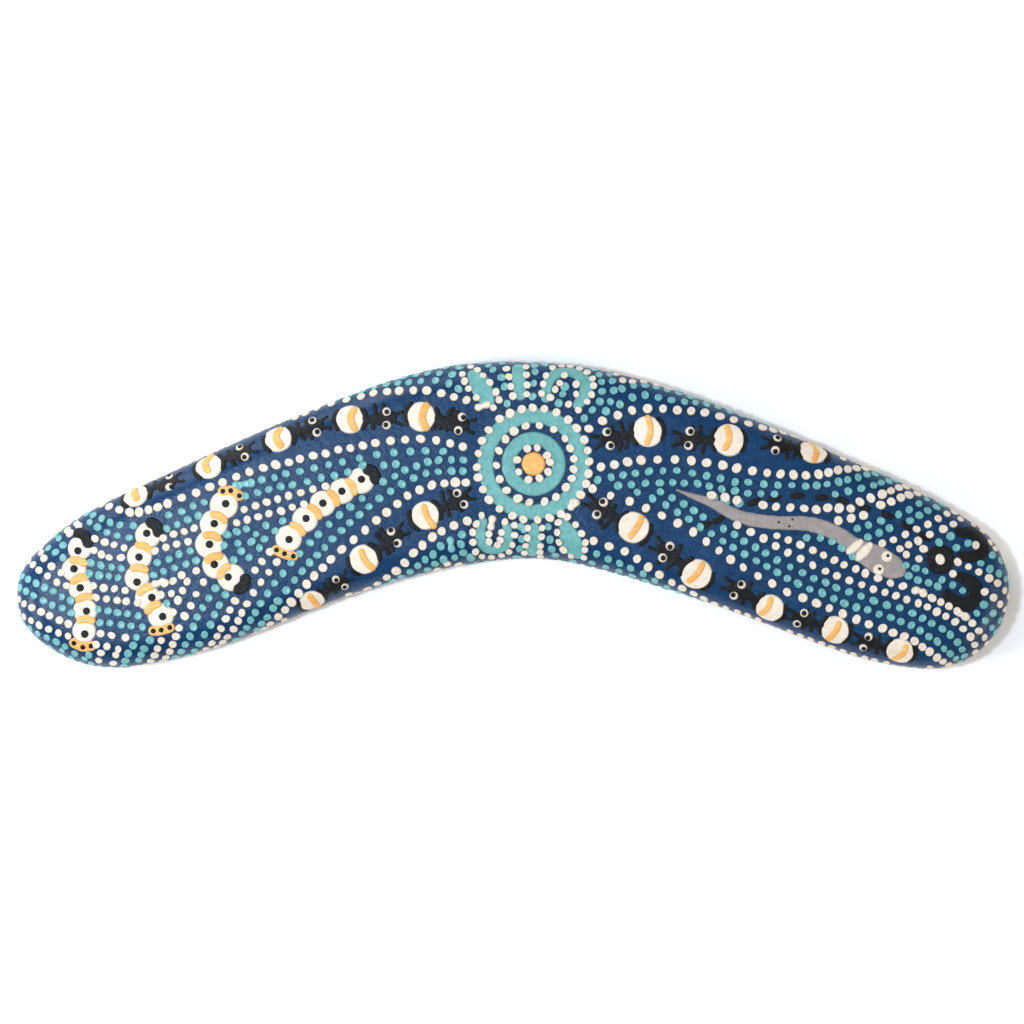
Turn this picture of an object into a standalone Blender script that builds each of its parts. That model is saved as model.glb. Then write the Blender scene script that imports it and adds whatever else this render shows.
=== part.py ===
"""A carved wooden boomerang with a raised painted face, as separate named solids.

The timber blade is one piece, carved from one board. All the other pieces are paint: the ground coat
that wraps the face and the rim, and the thick motifs that stand proud of it.

Frame: metres, X along the span, Y towards the elbow, Z up out of the flat back, which lies at z = 0.
The origin is under the middle of the outline's box. The stations and the motifs share one plan datum,
in millimetres as seen from straight above, which is then moved to that origin.
"""
import math

import bpy
import bmesh
import numpy as np
from mathutils import Vector
from mathutils.geometry import delaunay_2d_cdt

MM = 0.001

# Outline: x, y and half-width in millimetres at stations along the blade's centreline.
STATIONS = np.array((
    (-154.8, -28.6, 20.3),
    (-145.0, -27.5, 26.0),
    (-133.0, -23.7, 29.5),
    (-119.0, -18.7, 31.1),
    (-71.5, 1.1, 32.7),
    (-43.3, 11.0, 33.9),
    (-15.0, 17.8, 34.9),
    (3.0, 18.9, 34.5),
    (20.0, 17.8, 34.3),
    (48.6, 10.7, 33.8),
    (77.0, 0.8, 33.0),
    (105.0, -10.2, 32.2),
    (126.3, -18.9, 31.4),
    (138.0, -23.5, 30.0),
    (147.0, -26.6, 28.0),
))

# Section across the blade, in millimetres.
WIDEST_Z = 5.5           # height of the widest line above the back
TOP_ROLL = 9.0           # radius of the round edge between the face and the widest line
BACK_ROLL = 6.0          # how far the edge runs in below the widest line
CROWN = 1.0              # rise of the face from its rounded edge to the centreline
COAT = 0.4               # thickness of the ground coat
GAP = 0.3                # clearance between separate layers
PAINT = 0.6              # thickness of a raised motif
COAT_END = 50.0          # degrees below the widest line at which the ground coat stops

# Mesh fineness.
SIDE_STEPS = 38          # along each long side
END_CROWDING = 0.6       # how much closer together the steps are towards the tips
CAP_STEPS = 10           # round each tip
CROWN_FRACTIONS = (0.0, 0.5)
ROLL_ANGLES = (90.0, 72.0, 54.0, 36.0, 18.0, 0.0)
UNDER_ANGLES = (-25.0, -COAT_END)
DENSE_STEPS = 1200       # samples of the centreline used to find the nearest one
GRID = 3.4               # spacing of the points inside a motif
SMOOTH_ANGLE = math.radians(40)

# Motifs.
ROUNDEL_CENTRE = (7.2, 17.6)
ROUNDEL_RADII = {"centre": 4.1, "inner": (6.4, 11.2), "outer": (14.1, 20.0)}
# Trails of ants that walk to the roundel: x, y of the abdomen, heading in degrees, scale.
ANTS = (
    (-133.0, 6.6, 21, 0.90), (-107.3, 17.0, 22, 0.92), (-82.5, 26.6, 18, 0.94),
    (-57.5, 33.6, 3, 0.94), (-32.0, 34.5, -9, 0.96),
    (-71.0, -30.0, 37, 0.84), (-52.5, -16.0, 38, 0.92), (-31.0, -0.5, 25, 0.92),
    (106.0, 22.0, 173, 0.96), (76.2, 26.0, 178, 1.0), (47.8, 28.8, 194, 0.98),
    (136.4, -48.6, 164, 0.90), (113.4, -41.0, 162, 0.92), (90.4, -33.3, 153, 0.95),
    (64.6, -21.6, 145, 0.98), (42.6, -5.0, 151, 1.0),
)
ABDOMEN = (5.2, 5.7)     # half-length along the ant, and half-width across it
ANT_BODY = ((7.0, 1.2), (8.6, 2.1), (10.4, 1.7), (12.4, 2.2), (14.6, 2.5), (16.6, 1.2))
LEGS = ((8.2, 118), (10.4, 92), (12.6, 66))
LEG_LENGTH = 4.6
LEG_HALF = 0.75
FEELER = (15.6, 24, 4.6, 0.5)   # root along the ant, spread in degrees, length, half-width
# Grubs: the middles of the five body rings, then the ring radius.
GRUBS = (
    (((-152.5, -12.0), (-154.4, -19.4), (-152.2, -26.6), (-150.6, -34.0), (-151.2, -41.2)), 4.3),
    (((-128.5, -7.5), (-131.5, -14.9), (-132.2, -22.4), (-128.9, -29.4), (-124.2, -35.8)), 4.5),
    (((-101.6, 3.2), (-105.4, -3.6), (-107.0, -11.0), (-104.7, -18.0), (-99.2, -22.6)), 4.9),
    (((-53.5, 11.5), (-60.2, 8.0), (-67.0, 3.5), (-73.4, -2.0), (-79.0, -8.3)), 4.7),
)
GRUB_SPINE_HALF = 3.2
# Strokes: x, y and half-width along each one.
SNAKE = (
    (57.5, 8.4, 0.4), (64.0, 6.0, 1.1), (70.0, 3.9, 1.7), (80.0, -1.0, 2.3), (95.0, -3.2, 2.4),
    (103.0, -3.4, 2.6), (111.0, -5.6, 2.7), (119.5, -10.7, 2.9), (126.0, -14.8, 4.4),
    (130.0, -17.0, 4.7), (134.0, -19.0, 3.8), (136.4, -20.3, 1.9),
)
STROKES = {
    "petal_top_left": ("turquoise", ((-13.6, 48.8, 2.6), (-11.6, 45.2, 3.6), (-8.9, 41.0, 2.4))),
    "petal_top_middle": ("turquoise", ((2.0, 51.2, 2.3), (2.2, 46.0, 2.3), (2.4, 41.8, 1.9))),
    "petal_top_right": ("turquoise", (
        (11.8, 41.2, 1.7), (12.4, 46.0, 2.0), (17.0, 50.0, 2.0), (23.4, 48.0, 2.0),
        (25.0, 43.0, 2.0), (22.8, 38.2, 1.7))),
    "petal_bottom_left": ("turquoise", (
        (-10.8, -3.6, 1.8), (-11.2, -8.0, 1.8), (-7.0, -12.4, 1.9), (-2.4, -9.0, 1.8),
        (-1.9, -5.0, 1.7))),
    "petal_bottom_middle": ("turquoise", ((7.5, -5.2, 1.9), (7.3, -9.0, 2.2), (7.0, -13.2, 2.2))),
    "petal_bottom_right": ("turquoise", ((17.7, -4.0, 1.4), (19.0, -7.0, 3.0), (20.9, -10.8, 3.9))),
    "track_disc": ("black", ((150.2, -16.0, 5.2), (150.4, -16.0, 5.2))),
    "track_hook_upper": ("black", (
        (157.4, -6.6, 1.9), (162.6, -8.0, 2.4), (164.4, -11.8, 2.2), (161.0, -14.3, 2.0),
        (158.0, -14.4, 1.8))),
    "track_hook_lower": ("black", (
        (158.2, -22.4, 2.0), (162.2, -26.2, 2.5), (160.4, -31.0, 2.4), (155.0, -30.6, 2.2),
        (153.4, -28.6, 1.7))),
}
STEPS_PER_SPAN = 2       # samples between two points of a stroke
END_STEPS = 4            # sides of a stroke's round end
DISC_SIDES = 20
GRUB_SIDES = 12
RING_SIDES = 40

COLOURS = {              # linear base colour, roughness
    "timber": ((0.42, 0.22, 0.10), 0.55),
    "navy": ((0.02, 0.06, 0.19), 0.45),
    "turquoise": ((0.13, 0.47, 0.47), 0.45),
    "cream": ((0.88, 0.82, 0.70), 0.5),
    "ochre": ((0.85, 0.42, 0.09), 0.5),
    "black": ((0.012, 0.013, 0.016), 0.4),
    "grey": ((0.33, 0.30, 0.31), 0.5),
}


def natural_spline(knots, values, where):
    """Cubic spline through values at knots, with free ends, read at where."""
    count = len(knots)
    span = np.diff(knots)
    system = np.eye(count)
    bend = np.zeros_like(values)
    for i in range(1, count - 1):
        system[i, i - 1:i + 2] = span[i - 1], 2 * (span[i - 1] + span[i]), span[i]
        rise_out = (values[i + 1] - values[i]) / span[i]
        rise_in = (values[i] - values[i - 1]) / span[i - 1]
        bend[i] = 6 * (rise_out - rise_in)
    second = np.linalg.solve(system, bend)
    k = np.clip(np.searchsorted(knots, where) - 1, 0, count - 2)
    after = ((where - knots[k]) / span[k])[:, None]
    before = 1 - after
    cubic = (before ** 3 - before) * second[k] + (after ** 3 - after) * second[k + 1]
    return before * values[k] + after * values[k + 1] + cubic * (span[k] ** 2 / 6)[:, None]


def smooth_path(points, steps):
    """Points on a smooth curve through the given rows, steps of them to each gap."""
    rows = np.array(points, dtype=float)
    lengths = np.linalg.norm(np.diff(rows[:, :2], axis=0), axis=1)
    knots = np.concatenate(((0.0,), np.cumsum(lengths)))
    index = np.arange(len(rows), dtype=float)
    where = np.interp(np.linspace(0, len(rows) - 1, steps * (len(rows) - 1) + 1), index, knots)
    return natural_spline(knots, rows, where)


def unit(vectors):
    return vectors / np.linalg.norm(vectors, axis=-1, keepdims=True)


class Blade:
    """The blade's centreline and the round-edged surface that is laid over it."""

    def __init__(self):
        lengths = np.linalg.norm(np.diff(STATIONS[:, :2], axis=0), axis=1)
        knots = np.concatenate(((0.0,), np.cumsum(lengths)))
        where = np.linspace(0, knots[-1], DENSE_STEPS + 1)
        self.line = natural_spline(knots, STATIONS, where)
        self.tangent = unit(np.gradient(self.line[:, :2], where, axis=0))
        self.taper = np.gradient(self.line[:, 2], where)
        centre, half, out = self.ring(1.0)
        edge = centre + out * half[:, None]
        self.middle = (edge.min(axis=0) + edge.max(axis=0)) / 2
        self.line[:, :2] -= self.middle

    def ring(self, level):
        """Centre, half-width and outward direction of every point of the loop at this level.

        Level 1 is the outline, and level 0 is the centreline.
        """
        even = np.linspace(0, 1, SIDE_STEPS + 1)
        crowded = even - END_CROWDING * np.sin(2 * math.pi * even) / (2 * math.pi)
        pick = (DENSE_STEPS * crowded).round().astype(int)
        lean = level * self.taper[pick][:, None]
        along = self.tangent[pick]
        left = np.stack((-along[:, 1], along[:, 0]), axis=1)
        upper = -lean * along + np.sqrt(1 - lean ** 2) * left
        lower = -lean * along - np.sqrt(1 - lean ** 2) * left
        stations = self.line[pick]
        rows = [(stations, upper),
                self.cap(stations[-1], upper[-1], lower[-1]),
                (stations[::-1], lower[::-1]),
                self.cap(stations[0], lower[0], upper[0])]
        centre = np.concatenate([part[0] for part in rows])
        out = np.concatenate([part[1] for part in rows])
        return centre[:, :2], centre[:, 2], out

    @staticmethod
    def cap(station, start, end):
        """The points of a round tip that lie between the last points of the two sides."""
        first = math.atan2(start[1], start[0])
        turn = (math.atan2(end[1], end[0]) - first) % (2 * math.pi) - 2 * math.pi
        angles = first + turn * np.arange(1, CAP_STEPS) / CAP_STEPS
        out = np.stack((np.cos(angles), np.sin(angles)), axis=1)
        return np.repeat(station[None], CAP_STEPS - 1, axis=0), out

    def foot(self, points):
        """Centre, half-width, outward direction and level of any plan points."""
        away = points[:, None, :] - self.line[None, :, :2]
        levels = np.linalg.norm(away, axis=2) / self.line[None, :, 2]
        nearest = levels.argmin(axis=1)
        station = self.line[nearest]
        offset = points - station[:, :2]
        length = np.maximum(np.linalg.norm(offset, axis=1, keepdims=True), 1e-9)
        return station[:, :2], station[:, 2], offset / length, levels.min(axis=1)

    def unroll(self, points):
        """Plan positions seen from above, moved to the origin, with the round edge laid out flat."""
        points = np.asarray(points, dtype=float) - self.middle
        centre, half, out, level = self.foot(points)
        inward = (1 - level) * half
        cosine = np.clip((TOP_ROLL - inward) / TOP_ROLL, 0, 1)
        arc = TOP_ROLL * (math.pi / 2 - np.arccos(cosine))
        flat = np.where(inward < TOP_ROLL, TOP_ROLL - arc, inward)
        return centre + out * (half - flat)[:, None]

    def wrap(self, points, lift):
        """Unrolled positions laid on the finished face, lift millimetres above it."""
        centre, half, out, level = self.foot(np.asarray(points, dtype=float))
        inward = (1 - level) * half
        arc = np.maximum(TOP_ROLL - inward, 0)
        top_arc = TOP_ROLL * math.pi / 2
        phi = math.pi / 2 - np.minimum(arc, top_arc) / TOP_ROLL
        under = np.maximum(arc - top_arc, 0) / ((BACK_ROLL + WIDEST_Z) / 2)
        depth = np.where(inward < TOP_ROLL, TOP_ROLL - TOP_ROLL * np.cos(phi), inward)
        rise = CROWN * (1 - np.clip(1 - depth / half, 0, 1) ** 2)
        height = WIDEST_Z + TOP_ROLL * np.sin(phi) + rise
        depth += BACK_ROLL * (1 - np.cos(under))
        height -= WIDEST_Z * np.sin(under)
        facing = np.where(under > 0, -under, phi)
        depth -= lift * np.cos(facing)
        height += lift * np.sin(facing)
        plan = centre + out * (half - depth)[:, None]
        return np.column_stack((plan, height))


def section_loops(blade, inset, angles):
    """Closed loops from the edge of the crown down the round edge, inset below the finished face."""
    loops = []
    base, half, out = blade.ring(1.0)
    for angle in angles:
        phi = math.radians(angle)
        if angle >= 0:
            depth = TOP_ROLL - (TOP_ROLL - inset) * math.cos(phi)
            height = WIDEST_Z + (TOP_ROLL - inset) * math.sin(phi)
        else:
            depth = inset + BACK_ROLL * (1 - math.cos(phi))
            height = WIDEST_Z * (1 + math.sin(phi))
        level = 1 - depth / half
        base, half, out = blade.ring(float(level.mean()))
        plan = base + out * (half - depth)[:, None]
        rise = CROWN * (1 - (1 - depth / half) ** 2) if angle >= 0 else 0.0
        loops.append(np.column_stack((plan, height + rise + np.zeros(len(half)))))
    return loops


def crown_loops(blade, inset):
    """Loops over the crown, from the centreline to just inside the round edge."""
    loops = []
    for fraction in CROWN_FRACTIONS:
        base, half, out = blade.ring(fraction)
        level = fraction * (1 - TOP_ROLL / half)
        plan = base + out * (half * level)[:, None]
        height = WIDEST_Z + TOP_ROLL - inset + CROWN * (1 - level ** 2)
        loops.append(np.column_stack((plan, height)))
    return loops


def material(name, colour):
    """A Principled material of its own for one sub-part."""
    base, roughness = COLOURS[colour]
    made = bpy.data.materials.new(name + "_paint")
    made.use_nodes = True
    shader = made.node_tree.nodes["Principled BSDF"]
    shader.inputs["Base Color"].default_value = (*base, 1.0)
    shader.inputs["Roughness"].default_value = roughness
    shader.inputs["Metallic"].default_value = 0.0
    made.diffuse_color = (*base, 1.0)
    return made


def add_object(name, colour, work, parent):
    """Put a finished bmesh into the scene, in metres, under its own name."""
    bmesh.ops.scale(work, vec=(MM, MM, MM), verts=work.verts)
    bmesh.ops.remove_doubles(work, verts=work.verts, dist=1e-7)
    bmesh.ops.dissolve_degenerate(work, edges=work.edges, dist=1e-8)
    bmesh.ops.triangulate(work, faces=work.faces)
    bmesh.ops.recalc_face_normals(work, faces=work.faces)
    mesh = bpy.data.meshes.new(name)
    work.to_mesh(mesh)
    work.free()
    mesh.materials.append(material(name, colour))
    mesh.shade_smooth()
    mesh.set_sharp_from_angle(angle=SMOOTH_ANGLE)
    piece = bpy.data.objects.new(name, mesh)
    piece.parent = parent
    bpy.context.scene.collection.objects.link(piece)
    return piece


def loft(loops):
    """Skin a list of equal closed loops, the first and last of which have shrunk to a line."""
    work = bmesh.new()
    rows = [[work.verts.new(point) for point in loop] for loop in loops]
    count = len(rows[0])
    for upper, lower in zip(rows, rows[1:]):
        for i in range(count):
            j = (i + 1) % count
            work.faces.new((upper[i], upper[j], lower[j], lower[i]))
    return work


def wooden_blade(blade, parent):
    """The timber: a crowned face, round edges and a flat back, lying under the ground coat."""
    inset = COAT + GAP
    angles = ROLL_ANGLES + UNDER_ANGLES + (-70.0, -90.0)
    loops = crown_loops(blade, inset) + section_loops(blade, inset, angles)
    spine = blade.ring(0.0)[0]
    loops.append(np.column_stack((spine, np.zeros(len(spine)))))
    return add_object("wooden_blade", "timber", loft(loops), parent)


def ground_coat(blade, parent):
    """The coat of paint over the face and the rim, as a thin open-backed shell."""
    angles = ROLL_ANGLES + UNDER_ANGLES
    outside = crown_loops(blade, 0.0) + section_loops(blade, 0.0, angles)
    inside = crown_loops(blade, COAT) + section_loops(blade, COAT, angles)
    return add_object("ground_coat", "navy", loft(outside + inside[::-1]), parent)


def disc(centre, radii, heading=0.0, sides=DISC_SIDES):
    """A plan ellipse whose first half-axis points along the heading."""
    turn = np.arange(sides) * 2 * math.pi / sides
    local = np.stack((radii[0] * np.cos(turn), radii[1] * np.sin(turn)), axis=1)
    return place(local, centre, heading)


def place(local, centre, heading):
    """Turn local plan points by a heading in degrees and move them to a centre."""
    c, s = math.cos(math.radians(heading)), math.sin(math.radians(heading))
    return local @ np.array(((c, s), (-s, c))) + np.asarray(centre)


def bar(root, angle, length, half):
    """A square-ended plan bar from a point on the local X axis, at an angle in degrees."""
    corners = np.array(((0.0, -half), (length, -half), (length, half), (0.0, half)))
    return place(corners, (root, 0.0), angle)


def stroke(points, steps=STEPS_PER_SPAN):
    """The outline of a round-ended brush stroke through rows of x, y and half-width."""
    path = smooth_path(points, steps)
    along = unit(np.gradient(path[:, :2], axis=0))
    left = np.stack((-along[:, 1], along[:, 0]), axis=1)
    width = path[:, 2:]
    head = round_end(path[-1], left[-1])
    tail = round_end(path[0], -left[0])
    return np.concatenate((path[:, :2] + left * width, head, (path[:, :2] - left * width)[::-1], tail))


def round_end(row, side):
    """The points of a half circle that turns clockwise from one side to the other."""
    first = math.atan2(side[1], side[0])
    angles = first - math.pi * np.arange(1, END_STEPS) / END_STEPS
    return row[:2] + row[2] * np.stack((np.cos(angles), np.sin(angles)), axis=1)


def inside(points, loop):
    """Which of the points lie inside a closed plan loop."""
    x, y = points[:, :1], points[:, 1:]
    ax, ay = loop[:, 0], loop[:, 1]
    bx, by = np.roll(ax, -1), np.roll(ay, -1)
    straddles = (ay > y) != (by > y)
    rise = np.where(by == ay, 1e-12, by - ay)
    crossings = straddles & (x < (bx - ax) * (y - ay) / rise + ax)
    return crossings.sum(axis=1) % 2 == 1


def motif(blade, name, colour, loops, parent, holes=()):
    """A raised patch of paint over the union of the loops, less the holes, bent to the face."""
    outlines = list(loops) + list(holes)
    cloud = np.concatenate(outlines)
    low, high = cloud.min(axis=0), cloud.max(axis=0)
    xs = np.arange(low[0] + GRID / 2, high[0], GRID)
    ys = np.arange(low[1] + GRID / 2, high[1], GRID)
    grid = np.array([(x, y) for x in xs for y in ys]).reshape(-1, 2)
    covered = np.zeros(len(grid), dtype=bool)
    for loop in loops:
        covered |= inside(grid, loop)
    for loop in holes:
        covered &= ~inside(grid, loop)
    grid = grid[covered]
    if len(grid):
        clear = np.linalg.norm(grid[:, None] - cloud[None], axis=2).min(axis=1) > GRID * 0.45
        grid = grid[clear]

    points = [Vector(p) for p in np.concatenate((cloud, grid))]
    edges = []
    start = 0
    for loop in outlines:
        count = len(loop)
        edges += [(start + i, start + (i + 1) % count) for i in range(count)]
        start += count
    verts, _, faces, _, _, _ = delaunay_2d_cdt(points, edges, [], 0, 1e-5)
    flat = np.array([tuple(v) for v in verts])
    middles = np.array([flat[list(face)].mean(axis=0) for face in faces])
    keep = np.zeros(len(faces), dtype=bool)
    for loop in loops:
        keep |= inside(middles, loop)
    for loop in holes:
        keep &= ~inside(middles, loop)

    work = bmesh.new()
    under = [work.verts.new(p) for p in blade.wrap(flat, GAP)]
    over = [work.verts.new(p) for p in blade.wrap(flat, GAP + PAINT)]
    rim = {}
    for face, kept in zip(faces, keep):
        if not kept:
            continue
        work.faces.new([over[i] for i in face])
        work.faces.new([under[i] for i in reversed(face)])
        for i, j in zip(face, list(face[1:]) + [face[0]]):
            if (j, i) in rim:
                del rim[(j, i)]
            else:
                rim[(i, j)] = True
    for i, j in rim:
        work.faces.new((under[i], under[j], over[j], over[i]))
    loose = [v for v in work.verts if not v.link_faces]
    bmesh.ops.delete(work, geom=loose, context='VERTS')
    return add_object(name, colour, work, parent)


def roundel(blade, parent):
    """The concentric target at the elbow: a spot and two rings."""
    centre = blade.unroll([ROUNDEL_CENTRE])[0]
    spot = ROUNDEL_RADII["centre"]
    motif(blade, "roundel_centre", "ochre", [disc(centre, (spot, spot))], parent)
    for which in ("inner", "outer"):
        small, large = ROUNDEL_RADII[which]
        outer = disc(centre, (large, large), sides=RING_SIDES)
        inner = disc(centre, (small, small), sides=RING_SIDES)
        motif(blade, "roundel_" + which + "_ring", "turquoise", [outer], parent, [inner])


def ant(blade, number, row, parent):
    """One ant: a cream abdomen, and a black body in front of it with six legs and two feelers."""
    x, y, heading, scale = row
    centre = blade.unroll([(x, y)])[0]
    size = (ABDOMEN[0] * scale, ABDOMEN[1] * scale)
    motif(blade, "ant_abdomen_%02d" % number, "cream", [disc(centre, size, heading)], parent)
    shapes = [stroke([(along, 0.0, half) for along, half in ANT_BODY], steps=1)]
    for side in (-1, 1):
        shapes += [bar(root, side * angle, LEG_LENGTH, LEG_HALF) for root, angle in LEGS]
        root, spread, length, half = FEELER
        shapes.append(bar(root, side * spread, length, half))
    loops = [place(shape * scale, centre, heading) for shape in shapes]
    motif(blade, "ant_body_%02d" % number, "black", loops, parent)


def grub(blade, number, row, parent):
    """One grub: five overlapping round body rings along a curved line."""
    middles, radius = row
    centres = blade.unroll(middles)
    loops = [disc(centre, (radius, radius), sides=GRUB_SIDES) for centre in centres]
    loops.append(stroke([(*centre, GRUB_SPINE_HALF) for centre in centres]))
    motif(blade, "grub_%d" % number, "cream", loops, parent)


def brushed(blade, name, colour, rows, parent):
    """One raised brush stroke."""
    rows = np.array(rows)
    rows[:, :2] = blade.unroll(rows[:, :2])
    motif(blade, name, colour, [stroke(rows)], parent)


def main():
    for item in list(bpy.context.scene.objects):
        bpy.data.objects.remove(item, do_unlink=True)
    root = bpy.data.objects.new("boomerang", None)
    bpy.context.scene.collection.objects.link(root)

    blade = Blade()
    wooden_blade(blade, root)
    ground_coat(blade, root)
    roundel(blade, root)
    for number, row in enumerate(ANTS, 1):
        ant(blade, number, row, root)
    for number, row in enumerate(GRUBS, 1):
        grub(blade, number, row, root)
    brushed(blade, "snake", "grey", SNAKE, root)
    for name, (colour, rows) in STROKES.items():
        brushed(blade, name, colour, rows, root)


main()
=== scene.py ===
"""The looks of a painted wooden boomerang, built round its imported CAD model.

Frame: the CAD frame, in metres: X along the span, Y towards the elbow, Z up out of the flat back.
Plan positions are in millimetres in the painter's datum, as seen from straight above. Blade.unroll
moves them to the CAD origin and lays the round edge out flat, and Blade.lay bends them back on to it.
"""

import math

import bpy
import numpy as np
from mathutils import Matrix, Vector


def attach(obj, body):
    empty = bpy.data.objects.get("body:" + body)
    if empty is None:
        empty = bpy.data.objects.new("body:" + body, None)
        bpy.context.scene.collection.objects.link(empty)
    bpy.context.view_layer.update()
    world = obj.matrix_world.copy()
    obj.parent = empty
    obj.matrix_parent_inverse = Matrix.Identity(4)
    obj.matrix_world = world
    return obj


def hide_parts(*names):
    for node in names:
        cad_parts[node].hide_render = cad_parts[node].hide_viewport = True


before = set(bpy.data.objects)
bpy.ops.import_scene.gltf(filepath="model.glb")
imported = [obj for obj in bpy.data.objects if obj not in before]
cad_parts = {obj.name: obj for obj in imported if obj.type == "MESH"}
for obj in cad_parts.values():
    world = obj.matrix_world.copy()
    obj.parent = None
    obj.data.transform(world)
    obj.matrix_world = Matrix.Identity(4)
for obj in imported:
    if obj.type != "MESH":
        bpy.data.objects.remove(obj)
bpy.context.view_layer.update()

MM = 0.001
rng = np.random.default_rng(1961)

# ---------------------------------------------------------------- the blade
# Outline: x, y and half-width at stations along the blade's centreline, as in the CAD part.
STATIONS = np.array((
    (-154.8, -28.6, 20.3), (-145.0, -27.5, 26.0), (-133.0, -23.7, 29.5), (-119.0, -18.7, 31.1),
    (-71.5, 1.1, 32.7), (-43.3, 11.0, 33.9), (-15.0, 17.8, 34.9), (3.0, 18.9, 34.5),
    (20.0, 17.8, 34.3), (48.6, 10.7, 33.8), (77.0, 0.8, 33.0), (105.0, -10.2, 32.2),
    (126.3, -18.9, 31.4), (138.0, -23.5, 30.0), (147.0, -26.6, 28.0),
))
WIDEST_Z = 5.5           # height of the widest line above the back
TOP_ROLL = 9.0           # radius of the round edge between the face and the widest line
BACK_ROLL = 6.0          # how far the edge runs in below the widest line
CROWN = 1.0              # rise of the face from its rounded edge to the centreline
UNDER_RADIUS = (BACK_ROLL + WIDEST_Z) / 2
EDGE_ARC = TOP_ROLL * math.pi / 2
RIPPLE, RIPPLE_LENGTH = 0.10, 38     # hand-carved waviness of the face

PAINT_EDGE = 44.0        # degrees below the widest line at which the ground coat stops
PAINT_EDGE_WANDER = 7.0
COAT_THICKNESS = 0.2
BOARD_DEPTH = 0.35       # how far the board lies below the painted face
BARE_DEPTH = -0.18       # lift of the bare wood below the coat's edge
CROWN_LEVEL = 0.74       # level of the blade's loops where the crown meets the round edge
UNDERLAP = -0.06         # how far raised paint reaches into the coat below it
DENSE_STEPS = 1200       # samples of the centreline used to find the nearest one
COARSE = 12              # every how many of them are looked at first
SIDE_STEPS, CAP_STEPS = 300, 48      # mesh steps along a long side and round a tip
CROWN_FRACTIONS = (0.0, 0.12, 0.25, 0.38, 0.5, 0.62, 0.74, 0.84, 0.93)
ROLL_STEPS = 14
UNDER_TURNS = (8, 16, 24, 32)        # degrees below the widest line, down to the coat's edge
BACK_TURNS = (0, 15, 30, 40, 50, 60, 70, 78, 84, 90)

# ---------------------------------------------------------------- the painting
ROUNDEL = (7.2, 17.6)
ROUNDEL_SPOT = 4.2
ROUNDEL_INNER = (6.4, 11.3)
ROUNDEL_OUTER = (14.2, 19.7)
# Rings of dots: radius, dot size, how far the ring is to the right, and the bearing of each dot.
ROUNDEL_DOTS = (
    (5.8, 1.42, -0.1, (113, 74, 34, 5, -28, -67, -107, -151, 163)),
    (13.7, 1.48, 0.6, (122, 103, 84, 62, 41, 24, 8, -7, -22, -37, -57, -76, -99, -117, -137, -157, -178,
                       160, 140)),
    (19.8, 1.58, 0, (156, 143, 127, 114, 102, 91, 79, 66, 52, 39, 25, 13, 3, -10, -20, -33, -44, -61,
                     -73, -85, -100, -112, -126, -141, -153, -166, -177, 170)),
)

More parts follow.
